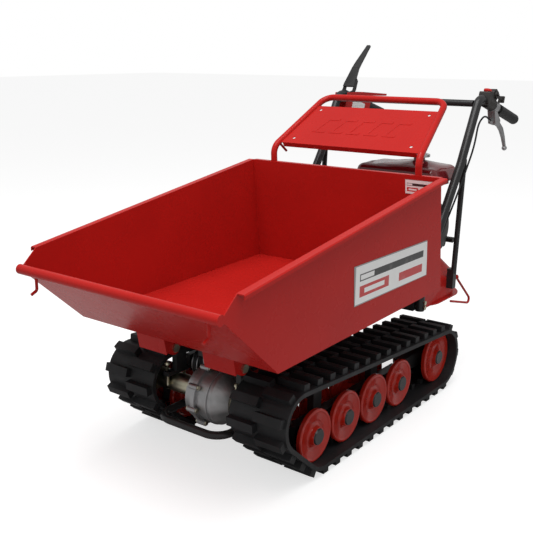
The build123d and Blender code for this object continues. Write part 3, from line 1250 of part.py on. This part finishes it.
def latch_loop():
    """The bent rod loop on the left of the housing that releases the bucket's catch."""
    x = HOUSING_HALF + 14
    y, z = LOOP_EYE
    loop = bent_tube([(x, y, z), (x + 12, y + 130, z - 122), (x + 4, y - 40, z - 76)], 12, ROD_RADIUS)
    loop += rod_x(8, x - 8, x + 5, y, z)
    return loop - rod_x(4 + RUNNING_FIT, x - 9, x + 6, y, z)


# ---- every piece, one file each -----------------------------------------------------------
pieces = {
    "chassis_frame": chassis_frame(),
    "front_bumper": front_bumper(),
    "roller_beams": roller_beams(),
    "wheel_axles": wheel_axles(),
    "axle_tubes": axle_tubes(),
    "bolts": bolts(),
    "rest_pads": rest_pads(),
    "rear_housing": rear_housing(),
    "drive_belts": drive_belts(),
    "countershaft": countershaft(),
    "crank_pulley": crank_pulley(),
    "tension_arm": tension_arm(),
    "input_shaft": input_shaft(),
    "axle_gear": axle_gear(),
    "engine_block": engine_block(),
    "recoil_housing": recoil_housing(),
    "recoil_handle": recoil_handle(),
    "fuel_tank": fuel_tank(),
    "fuel_cap": fuel_cap(),
    "muffler": muffler(),
    "air_cleaner": air_cleaner(),
    "bucket_shell": bucket_shell(),
    "hinge_brackets": hinge_brackets(),
    "hinge_bolts": hinge_bolts(),
    "guard_hoop": guard_hoop(),
    "guard_panel": guard_panel(),
    "handlebars": pair(handlebar()),
    "grips": pair(grip()),
    "cross_bar": cross_bar(),
    "handle_braces": braces(),
    "lever_perches": lever_perches(),
    "steering_cables": cables(),
    "switch_housing": switch_housing(),
    "stop_button": stop_button(),
    "throttle_lever": throttle_lever(),
    "drive_bracket": drive_bracket(),
    "drive_lever": drive_lever(),
    "red_lever": red_lever(),
    "control_box": control_box(),
    "latch_loop": latch_loop(),
}
pieces["gearbox_left"], pieces["gearbox_right"] = gearbox_halves()
for name, side in SIDES:
    pieces[name + "_track"] = track(side)
    pieces[name + "_sprocket"] = sprocket(side)
    pieces[name + "_idler"] = road_wheel(side, IDLER_RADIUS, IDLER_Y, IDLER_Z)
    pieces[name + "_idler_fork"] = idler_fork(side)
    pieces[name + "_steering_lever"] = steering_lever(side)
    for number, wheel_y in enumerate(WHEEL_YS, start=1):
        pieces[name + "_wheel_" + str(number)] = road_wheel(side, WHEEL_RADIUS, wheel_y, WHEEL_Z)

os.makedirs("parts", exist_ok=True)
for name, shape in pieces.items():
    export_step(shape, "parts/" + name + ".step")
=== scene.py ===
import json
from math import cos, radians, sin

import bmesh
import bpy
from mathutils import Matrix, Vector


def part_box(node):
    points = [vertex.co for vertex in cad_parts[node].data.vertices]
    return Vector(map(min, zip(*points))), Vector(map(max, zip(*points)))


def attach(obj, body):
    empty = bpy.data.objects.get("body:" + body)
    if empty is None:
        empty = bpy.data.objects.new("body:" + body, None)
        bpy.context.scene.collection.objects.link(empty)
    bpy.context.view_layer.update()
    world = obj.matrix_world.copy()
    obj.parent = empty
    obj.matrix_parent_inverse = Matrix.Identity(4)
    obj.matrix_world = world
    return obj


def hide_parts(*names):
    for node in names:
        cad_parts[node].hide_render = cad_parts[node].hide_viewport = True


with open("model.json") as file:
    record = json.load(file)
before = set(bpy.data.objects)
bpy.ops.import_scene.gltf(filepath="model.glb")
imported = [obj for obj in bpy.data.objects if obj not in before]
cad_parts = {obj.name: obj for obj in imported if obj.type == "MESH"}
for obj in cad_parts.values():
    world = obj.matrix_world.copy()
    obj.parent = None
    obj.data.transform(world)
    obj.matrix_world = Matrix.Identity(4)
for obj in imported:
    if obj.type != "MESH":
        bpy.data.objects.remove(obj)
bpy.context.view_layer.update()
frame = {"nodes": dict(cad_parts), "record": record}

# Looks of a tracked power wheelbarrow, in metres.
# The left side is +X, the front is -Y and the ground is z = 0.

BODIES = frame["record"]["behaviour"]["bodies"]
BODY_OF = {node: body for body, nodes in BODIES.items() for node in nodes}
SLOT_OF = {part["node"]: part["material_slot"] for part in frame["record"]["subparts"]}
SMOOTH_LIMIT = radians(32)      # edges sharper than this keep a crease

RIM_FRONT = -0.856              # bucket's half width grows from here to the rear
HALF_FRONT = 0.336
SIDE_FLARE = 0.010 / 1.027      # growth of the half width along the bucket
REAR_WALL_TOP = (0.128, 0.737)  # outside of the bucket's rear wall, as Y and Z
REAR_WALL_FOOT = (0.171, 0.394)
SHEET = 0.0032                  # from the rear wall's outside to its inside
WHEEL_Z = 0.1045
WHEEL_PITCH = 0.1547
WHEEL_YS = [-0.4055 + index * WHEEL_PITCH for index in range(4)]
IDLER_PLACE = (0.311, 0.115)
CAP_EDGE = 0.0234               # radius of the dark cap in each hub
HANDLE_SLOPE = radians(-15.76)  # the grips drop this much towards the back
HANDLE_BEND = (0.542, 0.946)
HANDLE_X = 0.268
TANK_DOME = 0.022               # how far the tank's top falls from its filler to its edges
DOME_CROWN = 0.25               # share of the way out from the filler that stays level
TANK_TAPER = 0.10               # how much the tank's top draws in
FLOOR_SHADE = 0.55              # the floor's own grey, which lights the machine from below
FLOOR_GLOW = 0.66               # lifts the floor to white out to the horizon
ROOM_LIGHT = 0.50               # how strongly the white room lights the machine
PANEL_FOOT = (0.1385, 0.784)    # the guard panel's plane, as Y and Z of its two ends
PANEL_TOP = (0.388, 0.937)

SIDE_LABEL = (-0.332, 0.069, 0.456, 0.564)      # from Y, to Y, from Z, to Z
LOAD_LABEL = (0.231, 0.329, 0.679, 0.723)       # from X, to X, from Z, to Z
LABEL_WHITE = (0.86, 0.86, 0.85)
LABEL_BLACK = (0.02, 0.02, 0.02)
LABEL_RED = (0.55, 0.02, 0.02)
LABEL_EDGE = (0.30, 0.30, 0.30)
LABEL_GRIME = (0.6, 0.58, 0.56)

COAT_ROUGHNESS = 0.06
CAP_BLACK = (0.030, 0.030, 0.031)
WHEEL_GRIME = (0.05, 0.03, 0.025)
WHEEL_COAT = 0.25
RIB_RATE = 900.0                # radians of the grip's ribs for each metre along it
WASHER = 0.0012                 # thickness under a bolt head

CAMERA_PLACE = (1.3720, -2.0874, 1.0916)
CAMERA_AZIMUTH = radians(38.83)
CAMERA_ELEVATION = radians(15.19)
SENSOR_WIDTH = 36.0             # millimetres
FOCAL_LENGTH = 55.42            # millimetres
LENS_SHIFT = (0.0533, 0.0140)
LAMP_AIM = (0, 0, 0.4)

# Widths of the softened edges; a node that isn't listed keeps its CAD edges.
BEVELS = {
    "left_track": 0.003, "right_track": 0.003, "bucket_shell": 0.0009, "rear_housing": 0.002,
    "engine_block": 0.0009, "gearbox_left": 0.0016, "gearbox_right": 0.0016,
    "hinge_brackets": 0.001, "chassis_frame": 0.0012, "roller_beams": 0.002,
    "control_box": 0.0008, "drive_lever": 0.001, "red_lever": 0.0007,
    "left_steering_lever": 0.0018, "right_steering_lever": 0.0018, "lever_perches": 0.0015,
    "guard_panel": 0.0006, "grips": 0.002, "air_cleaner": 0.002, "muffler": 0.002,
    "recoil_housing": 0.002, "recoil_handle": 0.001, "stop_button": 0.0015,
    "switch_housing": 0.0015, "throttle_lever": 0.0012, "fuel_cap": 0.0012,
    "rest_pads": 0.001, "axle_tubes": 0.001, "front_bumper": 0.001,
    "left_idler_fork": 0.0015, "right_idler_fork": 0.0015, "fuel_tank": 0.001,
}


# ---- shaders ------------------------------------------------------------------------------
class Value:
    """A number in a shader that can be added, scaled and compared."""

    def __init__(self, tree, socket):
        self.tree = tree
        self.socket = socket

    def combine(self, operation, *others, reverse=False):
        node = self.tree.nodes.new("ShaderNodeMath")
        node.operation = operation
        terms = [self, *others]
        if reverse:
            terms = [others[0], self]
        for place, term in zip(node.inputs, terms):
            if isinstance(term, Value):
                self.tree.links.new(term.socket, place)
            else:
                place.default_value = term
        return Value(self.tree, node.outputs[0])

    def __add__(self, other):
        return self.combine("ADD", other)

    def __sub__(self, other):
        return self.combine("SUBTRACT", other)

    def __mul__(self, other):
        return self.combine("MULTIPLY", other)

    def __rsub__(self, other):
        return self.combine("SUBTRACT", other, reverse=True)

    def __gt__(self, other):
        return self.combine("GREATER_THAN", other)

    def __lt__(self, other):
        return self.combine("LESS_THAN", other)

    __radd__ = __add__
    __rmul__ = __mul__

    def between(self, low, high):
        return (self > low) * (self < high)

    def fade(self, low, high):
        """0 below low, 1 above high, smooth between them."""
        node = self.tree.nodes.new("ShaderNodeMapRange")
        node.interpolation_type = "SMOOTHSTEP"
        self.tree.links.new(self.socket, node.inputs["Value"])
        node.inputs["From Min"].default_value = low
        node.inputs["From Max"].default_value = high
        return Value(self.tree, node.outputs["Result"])


class Finish:
    """A material with one shader and helpers to vary its colour, roughness and relief."""

    def __init__(self, name, colour, roughness=0.5, metallic=0.0, coat=0.0, shine=0.5):
        self.material = bpy.data.materials.new(name)
        self.material.use_nodes = True
        self.tree = self.material.node_tree
        self.shader = self.tree.nodes["Principled BSDF"]
        self.shader.inputs["Base Color"].default_value = (*colour, 1)
        self.shader.inputs["Roughness"].default_value = roughness
        self.shader.inputs["Metallic"].default_value = metallic
        self.shader.inputs["Coat Weight"].default_value = coat
        self.shader.inputs["Coat Roughness"].default_value = COAT_ROUGHNESS
        self.shader.inputs["Specular IOR Level"].default_value = shine
        self.colour = (*colour, 1)
        self.place = self.node("ShaderNodeTexCoord").outputs["Object"]
        self.relief = None

    def node(self, kind, settings=None, inputs=None):
        """Any other shader node, with its settings and its inputs."""
        made = self.tree.nodes.new(kind)
        for key, value in (settings or {}).items():
            setattr(made, key, value)
        for key, value in (inputs or {}).items():
            if isinstance(value, Value):
                value = value.socket
            if isinstance(value, bpy.types.NodeSocket):
                self.tree.links.new(value, made.inputs[key])
            else:
                made.inputs[key].default_value = value
        return made

    def axes(self):
        """The three coordinates of the point being shaded."""
        parts = self.node("ShaderNodeSeparateXYZ", inputs={"Vector": self.place})
        return [Value(self.tree, parts.outputs[axis]) for axis in "XYZ"]

    def noise(self, scale, detail=3.0):
        """Soft cloudy noise between 0 and 1."""
        inputs = {"Vector": self.place, "Scale": scale, "Detail": detail}
        made = self.node("ShaderNodeTexNoise", inputs=inputs)
        return Value(self.tree, made.outputs["Fac"])

    def blend(self, share, first, second):
        """A colour that goes from first to second."""
        made = self.node("ShaderNodeMix", {"data_type": "RGBA"}, {"Factor": share})
        for place, colour in (("A_Color", first), ("B_Color", second)):
            socket = next(item for item in made.inputs if item.identifier == place)
            if isinstance(colour, bpy.types.NodeSocket):
                self.tree.links.new(colour, socket)
            else:
                socket.default_value = colour
        return next(item for item in made.outputs if item.identifier == "Result_Color")

    def tint(self, share, other):
        """Mix another colour into the base colour."""
        self.colour = self.blend(share, self.colour, (*other, 1))
        self.tree.links.new(self.colour, self.shader.inputs["Base Color"])
        return self

    def set(self, name, value):
        """Drive one of the shader's sockets with a value."""
        self.tree.links.new(value.socket, self.shader.inputs[name])
        return self

    def bump(self, height, strength, distance=0.001):
        """Fine relief on the surface."""
        inputs = {"Height": height, "Strength": strength, "Distance": distance}
        if self.relief:
            inputs["Normal"] = self.relief
        self.relief = self.node("ShaderNodeBump", inputs=inputs).outputs["Normal"]
        self.tree.links.new(self.relief, self.shader.inputs["Normal"])
        return self


def gloss_paint(name, colour, dusk, roughness=0.2, coat=0.6, shine=0.3):
    """Sprayed enamel: a little uneven in tone and gloss, with a faint orange peel."""
    finish = Finish(name, colour, roughness, coat=coat, shine=shine)
    finish.tint(finish.noise(5.0).fade(0.35, 0.75) * 0.5, dusk)
    finish.set("Roughness", finish.noise(14.0) * 0.10 + (roughness - 0.04))
    finish.bump(finish.noise(420.0, 1.0), 0.05, 0.0004)
    return finish


def red_enamel():
    """The red of the bucket, the hoop, the panel and the housing."""
    dusk = (0.40, 0.012, 0.010)
    finish = gloss_paint("red_enamel", (0.47, 0.015, 0.012), dusk, 0.26, 0.05, 0.12)
    return finish.material


def tank_enamel():
    """The dark red gloss of the fuel tank."""
    finish = gloss_paint("tank_enamel", (0.20, 0.012, 0.016), (0.14, 0.008, 0.012), 0.15, 0.8)
    return finish.material


def frame_enamel():
    """The black of the chassis, the handle tubes and the tall lever."""
    dusk = (0.030, 0.029, 0.028)
    finish = gloss_paint("frame_enamel", (0.020, 0.020, 0.021), dusk, 0.34, 0.12)
    return finish.material


def wheel_enamel(name, y, z):
    """Orange-red wheel paint with the dark cap at the hub and grime in the dish."""
    finish = gloss_paint(name, (0.44, 0.017, 0.008), (0.34, 0.012, 0.006), 0.2, WHEEL_COAT)
    _, across, up = finish.axes()
    dy = across - y
    dz = up - z
    reach = (dy * dy + dz * dz).combine("SQRT")
    grime = finish.noise(60.0).fade(0.45, 0.75) * (0.7 - reach.fade(0.03, 0.06) * 0.6)
    finish.tint(grime * 0.35, WHEEL_GRIME)
    painted = reach.fade(CAP_EDGE - 0.0004, CAP_EDGE)
    finish.tint(1.0 - painted, CAP_BLACK)
    finish.set("Coat Weight", painted * WHEEL_COAT)
    return finish.material


def track_rubber():
    """Matt moulded rubber with paler bluish-grey patches scattered by noise: painted sheen standing
    in for the gloss on the lug ends.
    """
    finish = Finish("track_rubber", (0.012, 0.012, 0.013), 0.6, shine=0.3)
    # painted sheen: noise scatters a paler bluish grey over the rubber in place of the glossy
    # reflection on the lug ends
    finish.tint(finish.noise(9.0, 6.0).fade(0.45, 0.8) * 0.55, (0.034, 0.034, 0.037))
    finish.set("Roughness", finish.noise(30.0) * 0.25 + 0.42)
    return finish.bump(finish.noise(260.0, 4.0), 0.25, 0.0006).material


def plain_rubber():
    """Dark rubber of the rest pads, the drive belts and the cables."""
    finish = Finish("plain_rubber", (0.014, 0.014, 0.015), 0.55, shine=0.25)
    finish.tint(finish.noise(40.0).fade(0.4, 0.8) * 0.4, (0.04, 0.04, 0.04))
    return finish.bump(finish.noise(300.0), 0.15, 0.0004).material


def grip_rubber():
    """Rubber with ribs round the grip."""
    finish = Finish("grip_rubber", (0.014, 0.014, 0.015), 0.5, shine=0.25)
    _, along, up = finish.axes()
    distance = along * cos(HANDLE_SLOPE) + up * sin(HANDLE_SLOPE)
    ribs = (distance * RIB_RATE).combine("SINE")
    finish.tint(ribs.fade(0.2, 1.0) * 0.3, (0.05, 0.05, 0.05))
    return finish.bump(ribs, 0.5, 0.0008).material


def cast_metal(name, shade, roughness):
    """Sand-cast aluminium with a grainy skin and darker hollows."""
    finish = Finish(name, (shade, shade, shade * 1.01), roughness, 0.85)
    hollows = (shade * 0.55, shade * 0.55, shade * 0.54)
    finish.tint(finish.noise(26.0, 5.0).fade(0.4, 0.75) * 0.5, hollows)
    finish.set("Roughness", finish.noise(80.0) * 0.2 + (roughness - 0.1))
    return finish.bump(finish.noise(520.0, 3.0), 0.35, 0.0005).material


def machined_steel(name, colour, roughness=0.3):
    """Bare or plated metal, a little cloudy."""
    finish = Finish(name, colour, roughness, 1.0)
    finish.tint(finish.noise(70.0).fade(0.4, 0.8) * 0.4, tuple(part * 0.6 for part in colour))
    finish.set("Roughness", finish.noise(120.0) * 0.2 + (roughness - 0.1))
    return finish.bump(finish.noise(600.0, 2.0), 0.1, 0.0003).material


def moulded_plastic(name, colour, roughness=0.4):
    """Plastic with a fine grain, paler where it is worn."""
    finish = Finish(name, colour, roughness, shine=0.3)
    worn = tuple(part * 1.6 + 0.004 for part in colour)
    finish.tint(finish.noise(18.0).fade(0.4, 0.8) * 0.35, worn)
    return finish.bump(finish.noise(700.0, 2.0), 0.12, 0.0003).material


# ---- shapes -------------------------------------------------------------------------------
def piece(name, bm, material, body, bevel=0.0):
    """A finished piece from a bmesh, riding on one body."""
    bmesh.ops.recalc_face_normals(bm, faces=bm.faces)
    mesh = bpy.data.meshes.new(name)
    bm.to_mesh(mesh)
    bm.free()
    for polygon in mesh.polygons:
        polygon.use_smooth = True
    mesh.set_sharp_from_angle(angle=SMOOTH_LIMIT)
    mesh.materials.append(material)
    made = bpy.data.objects.new(name, mesh)
    bpy.context.scene.collection.objects.link(made)
    if bevel:
        soften = made.modifiers.new("soft edges", "BEVEL")
        soften.width = bevel
        soften.segments = 2
        soften.limit_method = "ANGLE"
        soften.angle_limit = SMOOTH_LIMIT
        soften.harden_normals = True
    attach(made, body)
    return made


def softened(node, material, bevel):
    """A copy of one CAD node with merged faces and softened edges, shown in its place."""
    bm = bmesh.new()
    bm.from_mesh(frame["nodes"][node].data)
    bmesh.ops.remove_doubles(bm, verts=bm.verts, dist=1e-5)
    bmesh.ops.dissolve_limit(bm, angle_limit=radians(0.5), verts=bm.verts, edges=bm.edges)
    made = piece(node + "_skin", bm, material, BODY_OF[node], bevel)
    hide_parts(node)
    return made


def slab(bm, place, across, along, thickness):
    """A thin box on a plane; place maps its own X-Y plane into the machine's frame."""
    size = Matrix.Diagonal((across, along, thickness, 1))
    bmesh.ops.create_cube(bm, size=1.0, matrix=place @ size)


# ---- labels and relief --------------------------------------------------------------------
def bucket_half(y):
    """Half the bucket's outside width."""
    return HALF_FRONT + (y - RIM_FRONT) * SIDE_FLARE


def label_finish(name, extent, axis=1):
    """A white label with plain bars in black and red where lettering would be.

    u and v go from 0 to 1 over the label; axis is the one that u runs along.
    """
    u0, u1, v0, v1 = extent
    finish = Finish(name, LABEL_WHITE, 0.3, coat=0.4)
    axes = finish.axes()
    u = (axes[axis] - u0) * (1.0 / (u1 - u0))
    v = (axes[2] - v0) * (1.0 / (v1 - v0))
    finish.tint(v.between(0.58, 0.76) * u.between(0.06, 0.93), LABEL_BLACK)
    finish.tint(v.between(0.61, 0.73) * u.between(0.07, 0.24), LABEL_WHITE)
    finish.tint(v.between(0.18, 0.46) * u.between(0.06, 0.44), LABEL_RED)
    finish.tint(v.between(0.26, 0.38) * u.between(0.12, 0.38), LABEL_WHITE)
    finish.tint(v.between(0.18, 0.40) * u.between(0.58, 0.92), LABEL_RED)
    inside = v.between(0.03, 0.97) * u.between(0.008, 0.992)
    finish.tint(1.0 - inside, LABEL_EDGE)
    finish.tint(finish.noise(30.0).fade(0.5, 0.9) * 0.2, LABEL_GRIME)
    return finish.material


def side_labels():
    """The two large labels on the bucket's sides."""
    y0, y1, z0, z1 = SIDE_LABEL
    material = label_finish("side_label_finish", SIDE_LABEL)
    for name, side in (("left", 1), ("right", -1)):
        bm = bmesh.new()
        corners = []
        for y, z in ((y0, z0), (y1, z0 + 0.002), (y1 - 0.008, z1), (y0 - 0.006, z1)):
            corners.append(bm.verts.new((side * (bucket_half(y) + 0.0004), y, z)))
        face = bm.faces.new(corners)
        solid = bmesh.ops.extrude_face_region(bm, geom=[face])
        tips = [item for item in solid["geom"] if isinstance(item, bmesh.types.BMVert)]
        bmesh.ops.translate(bm, verts=tips, vec=(side * 0.0005, 0, 0))
        piece(name + "_side_label", bm, material, "bucket")


def load_label():
    """The small label inside the rear wall."""
    material = label_finish("load_label_finish", LOAD_LABEL, axis=0)
    bm = bmesh.new()
    lean = (REAR_WALL_FOOT[0] - REAR_WALL_TOP[0]) / (REAR_WALL_TOP[1] - REAR_WALL_FOOT[1])
    middle = 0.701
    y = REAR_WALL_TOP[0] - SHEET + (REAR_WALL_TOP[1] - middle) * lean
    place = Matrix.Translation((0.280, y - 0.0005, middle))
    place = place @ Matrix.Rotation(radians(90) + lean, 4, "X")
    slab(bm, place, 0.098, 0.044, 0.0006)
    piece("load_label", bm, material, "bucket")


def panel_place(x, rise):
    """A placement on the guard panel: x across, rise up its slope, local Z out of its face."""
    run_y = PANEL_TOP[0] - PANEL_FOOT[0]
    run_z = PANEL_TOP[1] - PANEL_FOOT[1]
    length = (run_y ** 2 + run_z ** 2) ** 0.5
    share = rise / length
    angle = Vector((run_y, run_z)).angle_signed(Vector((1, 0)))
    spot = (x, PANEL_FOOT[0] + share * run_y, PANEL_FOOT[1] + share * run_z)
    return Matrix.Translation(spot) @ Matrix.Rotation(angle, 4, "X")


def panel_relief(material):
    """Five leaning three-sided frames raised on the guard panel, a plain pattern."""
    bm = bmesh.new()
    lean = Matrix.Identity(4)
    lean[0][1] = 0.35
    bars = ((0, 0.034, 0.046, 0.010), (0, -0.034, 0.046, 0.010), (-0.018, 0, 0.010, 0.062))
    for index in range(5):
        place = panel_place(-0.13 + index * 0.065, 0.130) @ lean
        for x, y, width, height in bars:
            spot = place @ Matrix.Translation((x, y, 0.0013))
            slab(bm, spot, width, height, 0.0022)
    piece("panel_relief", bm, material, "bucket", 0.0009)


def cover_label():
    """The plain label on the red cover at the right handle."""
    finish = Finish("cover_label_finish", (0.84, 0.84, 0.83), 0.3, coat=0.3)
    _, _, up = finish.axes()
    lines = (up * 620.0).combine("SINE")
    finish.tint(lines.fade(0.6, 0.9) * 0.35, (0.45, 0.42, 0.42))
    bm = bmesh.new()
    spot = (-HANDLE_X + 0.0273, HANDLE_BEND[0] + 0.094, HANDLE_BEND[1] - 0.052)
    place = Matrix.Translation(spot) @ Matrix.Rotation(HANDLE_SLOPE, 4, "X")
    place = place @ Matrix.Rotation(radians(90), 4, "Y")
    slab(bm, place, 0.034, 0.088, 0.0006)
    piece("cover_label", bm, finish.material, "chassis")


def tank_stickers():
    """Plain warning stickers on the tank's front, yellow and white."""
    low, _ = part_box("fuel_tank")
    stickers = (("yellow", 0.115, (0.70, 0.50, 0.02)), ("white", 0.195, (0.8, 0.8, 0.78)))
    for name, x, colour in stickers:
        finish = Finish(name + "_sticker_finish", colour, 0.35, coat=0.4)
        _, _, up = finish.axes()
        finish.tint((up * 900.0).combine("SINE").fade(0.5, 0.8) * 0.4, (0.05, 0.05, 0.05))
        bm = bmesh.new()
        place = Matrix.Translation((x, low.y - 0.0004, low.z + 0.026))
        place = place @ Matrix.Rotation(radians(90), 4, "X")
        slab(bm, place, 0.052, 0.026, 0.0005)
        piece(name + "_sticker", bm, finish.material, "chassis")


# ---- small fittings -----------------------------------------------------------------------
def hexagon(bm, place, radius, height):
    """A bolt head with its washer, standing on the local Z axis."""
    washer = place @ Matrix.Translation((0, 0, WASHER / 2))
    head = place @ Matrix.Translation((0, 0, WASHER + height / 2))
    bmesh.ops.create_cone(bm, cap_ends=True, segments=24, radius1=radius * 1.35,
                          radius2=radius * 1.35, depth=WASHER, matrix=washer)
    bmesh.ops.create_cone(bm, cap_ends=True, segments=6, radius1=radius,
                          radius2=radius * 0.97, depth=height, matrix=head)


def starter_screws(material):
    """The three small screws round the starter cover."""
    bm = bmesh.new()
    low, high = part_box("recoil_housing")
    y = (low.y + high.y) / 2
    z = (low.z + high.z) / 2
    for index in range(3):
        angle = radians(30 + index * 120)
        spot = Matrix.Translation((high.x - 0.0285, y + 0.089 * cos(angle), z + 0.089 * sin(angle)))
        hexagon(bm, spot @ Matrix.Rotation(radians(90), 4, "Y"), 0.0045, 0.004)
    piece("starter_screws", bm, material, "chassis")


def domed_tank(skin):
    """Round the top of the fuel tank: it falls from the filler and its upper edges draw in."""
    low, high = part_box("fuel_tank")
    middle = (low + high) / 2
    cap_low, cap_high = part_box("fuel_cap")
    crown = (cap_low + cap_high) / 2
    bm = bmesh.new()
    bm.from_mesh(skin.data)
    long_edges = [edge for edge in bm.edges if edge.calc_length() > 0.02]
    bmesh.ops.subdivide_edges(bm, edges=long_edges, cuts=5, use_grid_fill=True)
    bmesh.ops.triangulate(bm, faces=bm.faces)
    for vert in bm.verts:
        share = max(0.0, (vert.co.z - middle.z) / (high.z - middle.z))
        side_x = high.x if vert.co.x > crown.x else low.x
        side_y = high.y if vert.co.y > crown.y else low.y
        reach_x = (vert.co.x - crown.x) / (side_x - crown.x)
        reach_y = (vert.co.y - crown.y) / (side_y - crown.y)
        reach = min(1.0, (reach_x ** 2 + reach_y ** 2) ** 0.5)
        vert.co.z -= share * TANK_DOME * max(0.0, reach - DOME_CROWN) / (1.0 - DOME_CROWN)
        vert.co.x += (middle.x - vert.co.x) * TANK_TAPER * share * share
        vert.co.y += (middle.y - vert.co.y) * TANK_TAPER * share * share
    bm.to_mesh(skin.data)
    bm.free()


# ---- dress every node ---------------------------------------------------------------------
def dress():
    """Give every CAD node its finish and its softened skin."""
    red = red_enamel()
    zinc = machined_steel("yellow_zinc", (0.60, 0.56, 0.42), 0.32)
    finishes = {
        "red_paint": red,
        "black_paint": frame_enamel(),
        "tank_paint": tank_enamel(),
        "rubber": plain_rubber(),
        "track_rubber": track_rubber(),
        "cast_aluminium": cast_metal("cast_aluminium", 0.42, 0.42),
        "engine_casting": cast_metal("engine_casting", 0.12, 0.5),
        "zinc": zinc,
        "steel": machined_steel("bare_steel", (0.40, 0.40, 0.41), 0.35),
        "chrome": machined_steel("plated_cap", (0.75, 0.75, 0.76), 0.16),
        "black_plastic": moulded_plastic("dark_plastic", (0.024, 0.021, 0.019), 0.42),
        "red_plastic": moulded_plastic("red_plastic", (0.55, 0.02, 0.015), 0.25),
    }
    wheels = {"idler": wheel_enamel("idler_enamel", *IDLER_PLACE)}
    for number, y in enumerate(WHEEL_YS, start=1):
        wheels["wheel_" + str(number)] = wheel_enamel("wheel_enamel_" + str(number), y, WHEEL_Z)
    for node, holder in frame["nodes"].items():
        material = finishes.get(SLOT_OF[node])
        if SLOT_OF[node] == "wheel_paint":
            material = wheels[node.split("_", 1)[1]]
        if node == "grips":
            material = grip_rubber()
        holder.data.materials.clear()
        holder.data.materials.append(material)
        skin = softened(node, material, BEVELS.get(node, 0.0))
        if node == "fuel_tank":
            domed_tank(skin)
    side_labels()
    load_label()
    panel_relief(red)
    cover_label()
    tank_stickers()
    starter_screws(zinc)


# ---- the studio ---------------------------------------------------------------------------
def studio_floor():
    """A wide pale floor that looks white to the camera."""
    bm = bmesh.new()
    bmesh.ops.create_grid(bm, x_segments=2, y_segments=2, size=30.0)
    mesh = bpy.data.meshes.new("floor")
    bm.to_mesh(mesh)
    bm.free()
    floor = bpy.data.objects.new("floor", mesh)
    bpy.context.scene.collection.objects.link(floor)
    finish = Finish("floor_white", (FLOOR_SHADE, FLOOR_SHADE, FLOOR_SHADE), 0.8, shine=0.0)
    seen = Value(finish.tree, finish.node("ShaderNodeLightPath").outputs["Is Camera Ray"])
    finish.set("Emission Color", seen)
    finish.shader.inputs["Emission Strength"].default_value = FLOOR_GLOW
    mesh.materials.append(finish.material)


def lamp(name, place, aim, size, watts):
    """A soft square lamp aimed at a point."""
    light = bpy.data.lights.new(name, "AREA")
    light.shape = "SQUARE"
    light.size = size
    light.energy = watts
    holder = bpy.data.objects.new(name, light)
    holder.location = place
    holder.rotation_euler = (Vector(aim) - Vector(place)).to_track_quat("-Z", "Y").to_euler()
    bpy.context.scene.collection.objects.link(holder)


def studio_light():
    """A bright room with a large lamp overhead and a weaker one at the left front."""
    bpy.context.scene.view_settings.view_transform = "Standard"
    world = bpy.data.worlds.new("studio")
    bpy.context.scene.world = world
    world.use_nodes = True
    tree = world.node_tree
    ray = Value(tree, tree.nodes.new("ShaderNodeLightPath").outputs["Is Camera Ray"])
    strength = ray * (1.0 - ROOM_LIGHT) + ROOM_LIGHT
    tree.nodes["Background"].inputs["Color"].default_value = (1, 1, 1, 1)
    tree.links.new(strength.socket, tree.nodes["Background"].inputs["Strength"])
    lamp("overhead", (0.2, -0.9, 3.6), LAMP_AIM, 2.6, 100)
    lamp("left_front", (3.2, -2.2, 2.0), LAMP_AIM, 1.6, 5)


def camera():
    """The view from the front left, a little above the bucket's rim."""
    level = cos(CAMERA_ELEVATION)
    back = Vector((sin(CAMERA_AZIMUTH) * level, -cos(CAMERA_AZIMUTH) * level,
                   sin(CAMERA_ELEVATION)))
    data = bpy.data.cameras.new("camera")
    data.sensor_width = SENSOR_WIDTH
    data.lens = FOCAL_LENGTH
    data.shift_x, data.shift_y = LENS_SHIFT
    holder = bpy.data.objects.new("camera", data)
    holder.location = CAMERA_PLACE
    holder.rotation_euler = (-back).to_track_quat("-Z", "Y").to_euler()
    bpy.context.scene.collection.objects.link(holder)
    bpy.context.scene.camera = holder


dress()
studio_floor()
studio_light()
camera()
